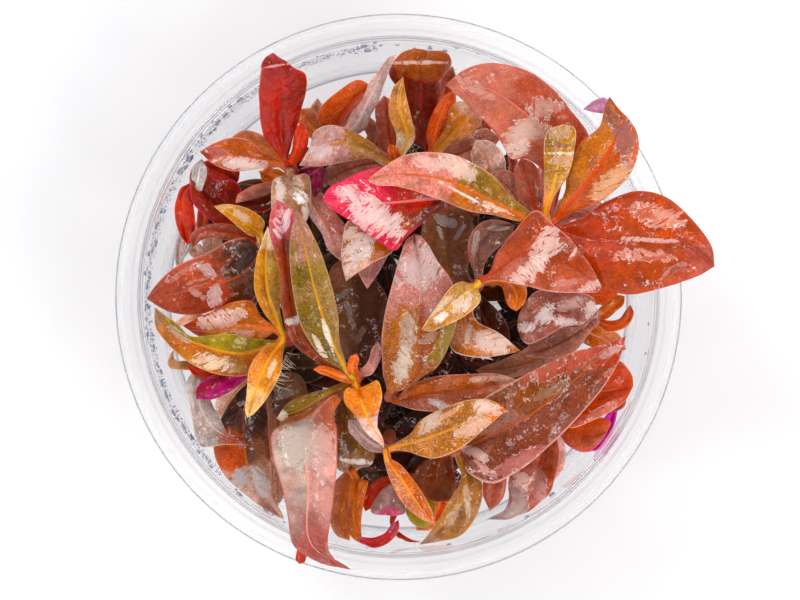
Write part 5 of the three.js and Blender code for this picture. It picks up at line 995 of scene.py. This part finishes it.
def leafPiece(name, spec, look, seed, small=False):
    rows, columns, camber = [blade["small" + key[0].upper() + key[1:] if small else key]
                             for key in ("rows", "columns", "camber")]
    rib = smoothCurve(spec["rib"], rows + 1)
    start, tip = rib[0], rib[-1]
    ahead = (tip - start) * (1, 1, 0)
    ahead /= np.linalg.norm(ahead)
    aside = np.array([-ahead[1], ahead[0], 0])
    one, two = spec["one"], spec["two"]
    sideOne = 1 if np.dot(np.array(one[len(one) // 2][:2]) - rib[rows // 2][:2], aside[:2]) > 0 else -1
    length = np.linalg.norm(np.diff(rib, axis=0), axis=1).sum()

    def margin(points, side, raised):
        inner = []
        for i, point in enumerate(points):
            u = (i + 1) / (len(points) + 1)
            level = np.interp(u * rows, range(rows + 1), rib[:, 2]) + raised * math.sin(math.pi * u)
            inner.append((point[0], point[1], point[2] if len(point) > 2 else level))
        first = tuple(start + aside * side * blade["stalkWidth"] / 2)
        return smoothCurve([first] + inner + [tuple(tip)], rows + 1)

    lift = spec.get("lift", (0, 0))
    margins = [margin(one, sideOne, lift[0]), margin(two, -sideOne, lift[1])]
    crowding = blade["crowding"]
    v = np.sin(np.linspace(-math.pi / 2, math.pi / 2, columns + 1) * crowding)
    v = v / math.sin(math.pi * crowding / 2)
    u = np.linspace(0, 1, rows + 1)
    wide = np.stack([np.linalg.norm(m - rib, axis=1) for m in margins], axis=1)
    share = abs(v)[None, :, None]
    outer = np.where((v < 0)[None, :, None], margins[0][:, None, :], margins[1][:, None, :])
    sheet = rib[:, None, :] * (1 - share) + outer * share
    reach = np.where((v < 0)[None, :], wide[:, :1], wide[:, 1:])
    away = reach * abs(v)[None, :]
    normal = np.cross(np.gradient(sheet, axis=0), np.gradient(sheet, axis=1)) * (-1 if sideOne == 1 else 1)
    size = np.linalg.norm(normal, axis=2, keepdims=True)
    normal = np.where(size > 1e-9, normal / np.maximum(size, 1e-9), 0)
    normal[-1] = normal[-2]
    for _ in range(2):  # the two halves meet in a soft fold
        normal[:, 1:-1] = normal[:, :-2] * 0.25 + normal[:, 1:-1] * 0.5 + normal[:, 2:] * 0.25
    normal /= np.maximum(np.linalg.norm(normal, axis=2, keepdims=True), 1e-9)

    run = (u * length)[:, None]
    ends = (np.minimum(1, u / blade["fadeIn"]) * np.minimum(1, (1 - u) / blade["fadeOut"]))[:, None]
    relief = camber * reach * 4 * abs(v) * (1 - abs(v))
    relief = relief - blade["groove"] * np.exp(-(away / blade["grooveWidth"]) ** 2) * ends
    between = np.sin(2 * math.pi * (run - blade["veinLean"] * away) / blade["veinSpacing"])
    relief = relief + blade["veinHeight"] * between * ends * (4 * abs(v) * (1 - abs(v)))
    shift = seed * blade["waveShift"] + (v > 0) * blade["sideShift"]
    waves = np.sin(2 * math.pi * run / blade["waveLength"] + shift)
    scale = min(1.0, float(wide.max()) / blade["fullRelief"])
    relief = relief + blade["waveHeight"] * scale * waves * abs(v) ** 3 * ends
    crinkle = np.array([[noise.noise(Vector(p) / blade["crinkleSize"] + Vector((seed, 0, 0))) for p in row]
                        for row in sheet])
    relief = relief + crinkle * blade["crinkleHeight"] * scale * ends
    middle = sheet + normal * relief[:, :, None]
    thick = (blade["thickness"] + (blade["stalkThickness"] - blade["thickness"]) * (1 - u) ** 6)[:, None]
    thick = thick * (1 - blade["marginThinning"] * abs(v) ** 8)
    thick = thick + blade["ribThickness"] * np.exp(-(away / blade["ribWidth"]) ** 2) * (1 - u)[:, None]
    half = normal * thick[:, :, None] / 2
    foot = stemNear(start) - start  # the stalk runs on into its stem
    if np.linalg.norm(foot) > blade["longestStalk"]:
        foot = np.zeros(3)
    top, under = [np.vstack([side[:1] + foot * 1.0, side[:1] + foot * 0.5, side[:-1]])
                  for side in (middle + half, middle - half)]
    count, wideCount = top.shape[:2]
    points = np.vstack([top.reshape(-1, 3), under.reshape(-1, 3), [tip]])
    base = count * wideCount
    last = 2 * base
    end = base - wideCount
    faces = []
    for i in range(count - 1):
        for a in range(i * wideCount, (i + 1) * wideCount - 1):
            b = a + wideCount
            faces += [(a, a + 1, b + 1, b), (base + a, base + b, base + b + 1, base + a + 1)]
        for a in (i * wideCount, (i + 1) * wideCount - 1):
            faces.append((a, a + wideCount, base + a + wideCount, base + a))
    for j in range(wideCount - 1):
        a = end + j
        faces += [(j, base + j, base + j + 1, j + 1), (a, a + 1, last), (base + a + 1, base + a, last)]
    faces += [(a, last, base + a) for a in (end, base - 1)]
    piece = addObject(name, points, faces, look)
    places = np.zeros((2, last + 1, 3))  # shares along and across, then the same in millimetres
    rowsOf = [np.r_[0, 0, u[:-1]], np.r_[-2, -1, (u * length)[:-1]]]
    acrossOf = [np.tile(v, count), np.vstack([away[:1], away[:1], away[:-1]]).ravel()]
    for k, key in enumerate(("leafPlace", "leafMm")):
        for first in (0, base):
            places[k, first:first + base, 0] = np.repeat(rowsOf[k], wideCount)
            places[k, first:first + base, 1] = acrossOf[k]
        places[k, last, 0] = (1, length)[k]
        layer = piece.data.attributes.new(key, "FLOAT_VECTOR", "POINT")
        layer.data.foreach_set("vector", places[k].astype("f").ravel())
    return piece


def tubeFaces(first, rings, sides):  # the walls and the two ends of a tube of rings
    faces = []
    for at in range(first, first + (rings - 1) * sides, sides):
        for k in range(sides):
            after = (k + 1) % sides
            faces.append((at + k, at + after, at + sides + after, at + sides + k))
    return faces + [tuple(range(at, at + sides)) for at in (first, first + (rings - 1) * sides)]


stemForm = {"rings": 46, "sides": 14, "knotFrom": 8, "knotSpacing": 11, "knot": 0.2, "knotLength": 1.1,
            "between": 0.86, "taper": 0.22, "tip": 0.35}


def stemPiece(name, route, radius, material):
    s = stemForm
    line = smoothCurve(route, s["rings"])
    last = len(line) - 1
    points = []
    for i, point in enumerate(line):
        ahead = line[min(i + 1, last)] - line[max(i - 1, 0)]
        ahead /= np.linalg.norm(ahead)
        first = np.cross(ahead, (0, 1, 0))
        first /= np.linalg.norm(first)
        second = np.cross(ahead, first)
        fromKnot = (point[2] - s["knotFrom"]) % s["knotSpacing"] - s["knotSpacing"] / 2
        knot = math.exp(-(fromKnot / s["knotLength"]) ** 2)  # the stem thickens where leaves grew
        wide = radius * (s["between"] + s["knot"] * knot) * (1 - s["taper"] * (i / last))
        wide = wide * (s["tip"] if i == last else 1)
        turn = [2 * math.pi * k / s["sides"] for k in range(s["sides"])]
        points += [point + (first * math.cos(a) + second * math.sin(a)) * wide for a in turn]
    return addObject(name, points, tubeFaces(0, len(line), s["sides"]), material)


def lathePiece(name, profile, sides, material):
    points, faces = [], []
    on = [i for i, (r, z) in enumerate(profile) if r > 0]
    for k in range(sides):
        a = 2 * math.pi * k / sides
        points += [(profile[i][0] * math.cos(a), profile[i][0] * math.sin(a), profile[i][1]) for i in on]
    count = len(on)
    poles = [len(points), len(points) + 1]
    points += [(0, 0, profile[0][1]), (0, 0, profile[-1][1])]
    for k in range(sides):
        a, b = k * count, ((k + 1) % sides) * count
        faces += [(a + i, b + i, b + i + 1, a + i + 1) for i in range(count - 1)]
        faces += [(poles[0], b, a), (poles[1], a + count - 1, b + count - 1)]
    piece = addObject(name, points, faces, material)
    piece.data.set_sharp_from_angle(angle=math.radians(35))
    return piece


def rounded(corner, before, after, radius, steps=5):  # a corner of a profile, rounded off
    corner, before, after = np.array(corner), np.array(before), np.array(after)
    a = corner + (before - corner) / np.linalg.norm(before - corner) * radius
    b = corner + (after - corner) / np.linalg.norm(after - corner) * radius
    t = np.linspace(0, 1, steps)[:, None]
    return [tuple(p) for p in a * (1 - t) ** 2 + corner * 2 * t * (1 - t) + b * t ** 2]


# Injection-moulded clear polypropylene: glassy and thin, with darker lines where its edges are seen on end;
# these lines are painted shade, grey in its colour.
cup = {  # millimetres
    "height": 55, "floor": 1.4, "wall": 0.8, "baseInner": 42.5, "mouthInner": 45,
    "flangeTop": 51.4, "flangeStep": 0.7, "stepRadius": 47, "flangeRadius": 50, "flangeThickness": 0.9,
    "skirtDrop": 3.6, "skirtThickness": 0.8, "heel": 1.2, "chamfer": 0.35, "sides": 192,
    "colour": "f6f6fa", "roughness": 0.02, "ior": 1.49, "alpha": 0.66, "ripple": 0.12, "rippleSize": 6,
    "flangeAlpha": 0.28, "edgeShadeColour": "a0a4b2", "lineShadeColour": "a4a8b4",
    # where the painted dark lines begin and are full, inwards from the edge and down from the flange, or off
    # a radius
    "brimIn": (0.5, 0.36), "brimDown": (0.9, 0.5), "mouthLine": 0.45, "footLine": -0.9,
    "mouthSteps": (0.25, 0.08, 0, 0.6), "footSteps": (0.3, 0.1), "footUp": (2, 1), "stepIn": (1, 0.5),
}


def wallRadius(z):
    rise = (z - cup["floor"]) / (cup["height"] - cup["floor"])
    return cup["baseInner"] + (cup["mouthInner"] - cup["baseInner"]) * rise


def cupPaint(add, place):  # painted shade: the dark lines of the brim, the mouth and the foot, and a clearer flange
    far = add("VectorMath", add("VectorMath", place, (1, 1, 0), **times), operation="LENGTH")
    high = add("SeparateXYZ", place, out="Z")
    edge, lower = cup["flangeRadius"], cup["flangeTop"] - cup["flangeStep"]
    brim = add("Math", add("MapRange", far, *(edge - inward for inward in cup["brimIn"]), **smooth),
               add("MapRange", high, *(lower - down for down in cup["brimDown"]), **smooth), **times)
    mouth, foot = [add("Math", add("Math", far, middle, **minus), **unsigned)
                   for middle in (cup["mouthInner"] + cup["mouthLine"], cup["baseInner"] + cup["footLine"])]
    mouth = add("MapRange", mouth, *cup["mouthSteps"], **smooth)
    foot = add("Math", add("MapRange", foot, *cup["footSteps"], **smooth),
               add("MapRange", high, *(cup["floor"] + up for up in cup["footUp"]), **smooth), **times)
    colour = add("Mix", add("Math", mouth, foot, **largest), linear(cup["colour"]), linear(cup["lineShadeColour"]),
                 **rgba)
    colour = add("Mix", brim, colour, linear(cup["edgeShadeColour"]), **rgba)
    thin = add("MapRange", far, *(cup["stepRadius"] - inward for inward in cup["stepIn"]), 0,
               cup["alpha"] - cup["flangeAlpha"], **smooth)
    alpha = add("Math", cup["alpha"], thin, **minus)
    alpha = add("Math", alpha, add("Math", brim, foot, **largest), **largest)
    return {"Base Color": colour, "Alpha": alpha}


def cupPiece():
    c = cup
    outer = {z: wallRadius(z) + c["wall"] for z in (0, c["flangeTop"], c["height"])}
    lower = c["flangeTop"] - c["flangeStep"]
    under = lower - c["flangeThickness"]
    bottom = lower - c["skirtDrop"]
    edge, thick = c["flangeRadius"], c["skirtThickness"]
    corners = [  # each corner of the section, and how far it is rounded
        ((0, 0), 0), ((outer[0], 0), c["heel"]), ((wallRadius(under) + c["wall"], under), 0.5),
        ((edge - 2 * thick, under), 0.3), ((edge - thick, bottom), 0.15), ((edge, bottom), 0.15),
        ((edge - c["chamfer"] / 2, lower), 0.4), ((c["stepRadius"] + 0.3, lower), 0.2),
        ((c["stepRadius"] - 0.3, c["flangeTop"]), 0.2), ((outer[c["flangeTop"]] + 0.1, c["flangeTop"]), 0.3),
        ((outer[c["height"]], c["height"]), 0.35), ((c["mouthInner"], c["height"]), 0.3),
        ((wallRadius(c["floor"]), c["floor"]), c["heel"]), ((0, c["floor"]), 0),
    ]
    profile = []
    for i, (point, radius) in enumerate(corners):
        profile += rounded(point, corners[i - 1][0], corners[i + 1][0], radius) if radius else [point]
    return lathePiece("clear_cup", profile, c["sides"], clearMaterial("clear_plastic", c, cupPaint))


# Agar gel, poured and set: softer than the plastic, with a wavy skin and a thin rise at the wall.
gel = {"top": 13, "gap": 0.3, "sides": 128, "rings": (34, 26, 18, 9, 0),
       "rise": [(0, 0.5), (0.6, 0.12), (1.6, 0)],  # how far from the wall, and how far above the top
       "colour": "fbfbfb", "roughness": 0.06, "ior": 1.34, "alpha": 0.4, "ripple": 0.5, "rippleSize": 9}


def gelPiece():
    top = gel["top"]
    low = cup["floor"] + gel["gap"]
    side = wallRadius(top) - gel["gap"]
    corner = (wallRadius(low) - gel["gap"], low)
    profile = [(0, low)] + rounded(corner, (0, low), (side, top), cup["heel"])
    profile += [(side - inward, top + up) for inward, up in gel["rise"]]
    profile += [(r, top) for r in gel["rings"]]
    return lathePiece("clear_gel", profile, gel["sides"], clearMaterial("gel", gel))


# Water, hanging as drops and as fine mist: each drop is a small dark-edged lens on the wall. The water's
# grey-blue tint is painted shade: it makes the drops read darker than clear water.
drops = {"count": 160, "smallest": 0.2, "largest": 0.75, "lowest": 40, "highest": 54, "seed": 7, "flat": 0.42,
         "around": (150, 62), "tall": 1.15, "mistCount": 1700, "mistSize": 0.15, "mistTall": 1.6,
         "mistLowest": 32, "mistHighest": 52, "mistFrom": 95, "mistTo": 225,
         "colour": "aab0c4", "roughness": 0.0, "ior": 1.33, "alpha": 1.0, "ripple": 0.0, "rippleSize": 5}


def dropsPiece():
    pick = random.Random(drops["seed"])
    points, faces = [], []

    def hang(turn, z, size, tall, fineness):  # a small rounded body that lies against the wall
        flat = size * drops["flat"]
        r = wallRadius(z) - flat - 0.02
        work = bmesh.new()
        bmesh.ops.create_icosphere(work, subdivisions=fineness, radius=1)
        faces.extend([v.index + len(points) for v in face.verts] for face in work.faces)
        for vertex in work.verts:
            inward, sideways, upright = np.array(vertex.co) * (flat, size, size * tall)
            points.append(((r + inward) * math.cos(turn) - sideways * math.sin(turn),
                           (r + inward) * math.sin(turn) + sideways * math.cos(turn), z + upright))
        work.free()

    for _ in range(drops["count"]):
        turn = math.radians(pick.gauss(*drops["around"]))  # most hang on the left and upper left
        z = pick.uniform(drops["lowest"], drops["highest"])
        size = drops["smallest"] + (drops["largest"] - drops["smallest"]) * pick.random() ** 3
        hang(turn, z, size, drops["tall"], 2)
    for _ in range(drops["mistCount"]):  # fine mist in a band on the side that stays cool
        turn = math.radians(pick.uniform(drops["mistFrom"], drops["mistTo"]))
        z = pick.triangular(drops["mistLowest"], drops["mistHighest"])
        hang(turn, z, drops["mistSize"] * (0.5 + pick.random() ** 2), drops["mistTall"], 1)
    return addObject("drops_on_wall", points, faces, clearMaterial("water", drops))


roots = {"perStem": 7, "radius": 0.16, "reach": 11, "fall": 5.5, "lowest": 2.6, "fromWall": 1.2, "stops": 9,
         "sides": 5, "taper": 0.6, "colour": "e8dcc8", "spotColour": "b89a78", "roughness": 0.55, "seed": 3,
         # pairs are the ends of a range that a strand takes its own value from
         "shares": (0.4, 1), "bend": (-3, 3), "from": (1, 14),
         "comb": {"from": (-21.9, -15.6, 47.4), "to": (-19.8, -9.8, 47.4), "count": 18, "length": 2.6,
                  "radius": 0.07, "turn": (-62, -8), "shares": (0.5, 1.1), "bend": (0.2, 0.9),
                  "stray": (-0.1, 0.1)}}


def rootsPiece():
    pick = random.Random(roots["seed"])
    shares = np.linspace(0, 1, roots["stops"])
    strands = []
    for line in stemPoints.values():
        for _ in range(roots["perStem"]):
            turn = pick.uniform(0, 2 * math.pi)
            reach = roots["reach"] * pick.uniform(*roots["shares"])
            start = line[pick.randrange(*roots["from"])]
            way, side = turned(turn)
            bend = side * pick.uniform(*roots["bend"])
            stops = []
            for t in shares:
                p = start + way * reach * t + bend * t ** 2
                p[2] = max(roots["lowest"], start[2] - roots["fall"] * t ** 1.5)
                far = math.hypot(p[0], p[1])
                p[:2] *= min(1, (wallRadius(p[2]) - roots["fromWall"]) / far)
                stops.append(p)
            strands.append((stops, side, roots["radius"]))
    comb = roots["comb"]  # fine white hairs that one stalk has put out into the air
    for share in np.linspace(0, 1, comb["count"]):
        way, side = turned(math.radians(pick.uniform(*comb["turn"])))
        bend = side * pick.uniform(*comb["bend"])
        start = np.array(comb["from"]) * (1 - share) + np.array(comb["to"]) * share
        reach = comb["length"] * pick.uniform(*comb["shares"])
        stops = [start + way * reach * t + bend * t ** 2 + (0, 0, pick.uniform(*comb["stray"]))
                 for t in shares]
        strands.append((stops, side, comb["radius"]))
    points, faces = [], []
    sides = roots["sides"]
    for stops, side, radius in strands:
        faces += tubeFaces(len(points), len(stops), sides)
        for i, p in enumerate(stops):
            wide = radius * (1 - roots["taper"] * i / (len(stops) - 1))
            for k in range(sides):
                a = 2 * math.pi * k / sides
                points.append(p + side * math.cos(a) * wide + np.array([0, 0, 1]) * math.sin(a) * wide)
    material, add = newMaterial("root_hair")  # pale thin roots, grown, matt and darker in patches
    spots = add("MapRange", add("TexNoise", placeInMm(add), 1 / 1.5, 3, 0.5), 0.45, 0.65, 0, 0.6, **smooth)
    colour = add("Mix", spots, linear(roots["colour"]), linear(roots["spotColour"]), **rgba)
    add("OutputMaterial", add("BsdfPrincipled", **{"Base Color": colour, "Roughness": roots["roughness"]}))
    return addObject("roots_in_gel", points, faces, material)


def settle(piece, slot, *nodes):  # what a piece rides on, its slot, which is not used, and the node it stands for
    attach(piece, "root")
    if nodes:
        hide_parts(*nodes)


slots = {entry["node"]: entry["material_slot"] for entry in frame["record"]["subparts"]}
clearPieces = [cupPiece(), gelPiece(), dropsPiece()]
settle(clearPieces[0], slots["cup"], "cup")
settle(clearPieces[1], slots["gel_medium"], "gel_medium")
settle(clearPieces[2], slots["cup"])
for piece in clearPieces:  # clear things let the light through to what they hold, so they cast no shadow
    piece.visible_shadow = False
    piece.visible_diffuse = False
settle(rootsPiece(), slots["gel_medium"])
print("cup, gel, drops and roots made")

materials = {}
leafCount = 0


def growLeaf(node, part, shape, choice, small=True):  # the choice is one look, or several that take turns
    global leafCount
    leafCount += 1
    key = choice if isinstance(choice, str) else choice[leafCount % len(choice)]
    if key not in materials:
        materials[key] = leafMaterial(key if key in leaves else "leaf_" + key, looks[key], leafCount)
    settle(leafPiece(node + part, shape, materials[key], leafCount, small), slots[node], node)


stemMade = stemMaterial()
for name, shoot in shoots.items():
    settle(stemPiece(name + "_stem", shoot["route"], shoot["radius"], stemMade), slots[name], name)
    for i, small in enumerate(shoot["small"], 1):
        growLeaf(name, f"_leaf_{i}", strandShape(small), small["look"])
    for i, low in enumerate(shoot["low"], 1):
        growLeaf(name, f"_low_leaf_{i}", lowShape(shoot["route"], *low), ["deepTwo", "deepOne"])
for number, (name, shoot) in enumerate(shoots.items()):
    for i, low in enumerate(undergrowthOf(shoot["route"], number), 1):
        growLeaf(name, f"_under_leaf_{i}", lowShape(shoot["route"], *low), undergrowth["looks"])
for i, (through, tip, width, look) in enumerate(scraps, 1):
    below = np.array(through) - (0, 0, 6)
    name = min(stemPoints, key=lambda key: np.linalg.norm(stemPoints[key] - below, axis=1).min())
    root = stemNear(below)
    way = [tuple(root), tuple((root + through) / 2 + (0, 0, 1.5)), through, tip]
    growLeaf(name, f"_scrap_{i}", strandShape({"rib": way, "width": width}), look)
print("stems and their small leaves made")

for name, leaf in leaves.items():
    growLeaf(name, "_blade", leaf, name, small=False)
    if "flap" in leaf:
        look = {key: value for key, value in looks[name].items()
                if key not in ("tip", "patches", "two", "sheen", "rib")}
        look.update(body=look.get("flap", "c890b0"), edge="d8a8c0")
        material = leafMaterial(name + "_flap", look, leafCount)
        settle(leafPiece(name + "_flap", strandShape(leaf["flap"]), material, leafCount, small=True),
               slots[name], name)
print("leaves made")

# Painted board, sprayed: matt, pale and plain.
floorLook = {"size": 3, "colour": "fbfbfd", "spotColour": "f8f8fb", "spotSize": 60, "roughness": 0.6}
material, add = newMaterial("pale_floor")
spots = add("MapRange", add("TexNoise", placeInMm(add), 1 / floorLook["spotSize"], 3, 0.5), 0.3, 0.7, 0, 0.3,
            **smooth)
colour = add("Mix", spots, linear(floorLook["colour"]), linear(floorLook["spotColour"]), **rgba)
add("OutputMaterial", add("BsdfPrincipled", **{"Base Color": colour, "Roughness": floorLook["roughness"]}))
half = floorLook["size"] / mm / 2
floorPoints = [(x * half, y * half, -0.02) for x, y in ((-1, -1), (1, -1), (1, 1), (-1, 1))]
floor = addObject("floor", floorPoints, [(0, 1, 2, 3)], material, soft=False)

light = {  # a plain pale studio: a sky that is brightest low down and two soft boxes, in metres and watts
    "low": 1.5, "overhead": 0.36, "turnsAt": 0.4, "endsAt": 0.92, "aim": (0, 0, 0.05),
    "boxes": [
        {"name": "key_box", "at": (-0.42, 0.5, 1.05), "size": (0.28, 0.28), "power": 3.1},
        {"name": "side_box", "at": (0.52, -0.36, 0.85), "size": (0.3, 0.4), "power": 3.1},
    ],
}
world = bpy.data.worlds.new("pale_sky")
scene.world = world
world.use_nodes = True
sky = world.node_tree
climb = addNode(sky, "SeparateXYZ", addNode(sky, "TexCoord", out="Generated"), out="Z")
fade = addNode(sky, "MapRange", climb, light["turnsAt"], light["endsAt"], 0, light["low"] - light["overhead"],
               **smooth)
background = sky.nodes["Background"]
background.inputs["Color"].default_value = (1, 1, 1, 1)
sky.links.new(addNode(sky, "Math", light["low"], fade, **minus), background.inputs["Strength"])
for box in light["boxes"]:
    lamp = bpy.data.lights.new(box["name"], "AREA")
    lamp.shape = "RECTANGLE"
    lamp.size, lamp.size_y = box["size"]
    lamp.energy = box["power"]
    holder = bpy.data.objects.new(box["name"], lamp)
    holder.location = box["at"]
    holder.rotation_euler = (Vector(light["aim"]) - Vector(box["at"])).to_track_quat("-Z", "Y").to_euler()
    scene.collection.objects.link(holder)

view = {"height": 1.555, "x": 0.00026, "y": -0.00061, "tilt": 0.0145, "target": 0.055, "lens": 384.8,
        "sensor": 36}
camera = bpy.data.objects.new("camera", bpy.data.cameras.new("camera"))
scene.collection.objects.link(camera)
camera.data.lens = view["lens"]
camera.data.sensor_width = view["sensor"]
target = Vector((view["x"], view["y"], view["target"]))
camera.location = Vector((view["x"], view["y"] - view["tilt"], view["height"]))
camera.rotation_euler = (target - camera.location).to_track_quat("-Z", "Y").to_euler()
camera.data.clip_end = 10
scene.camera = camera
scene.view_settings.view_transform = "Standard"
print("floor, light and camera made")
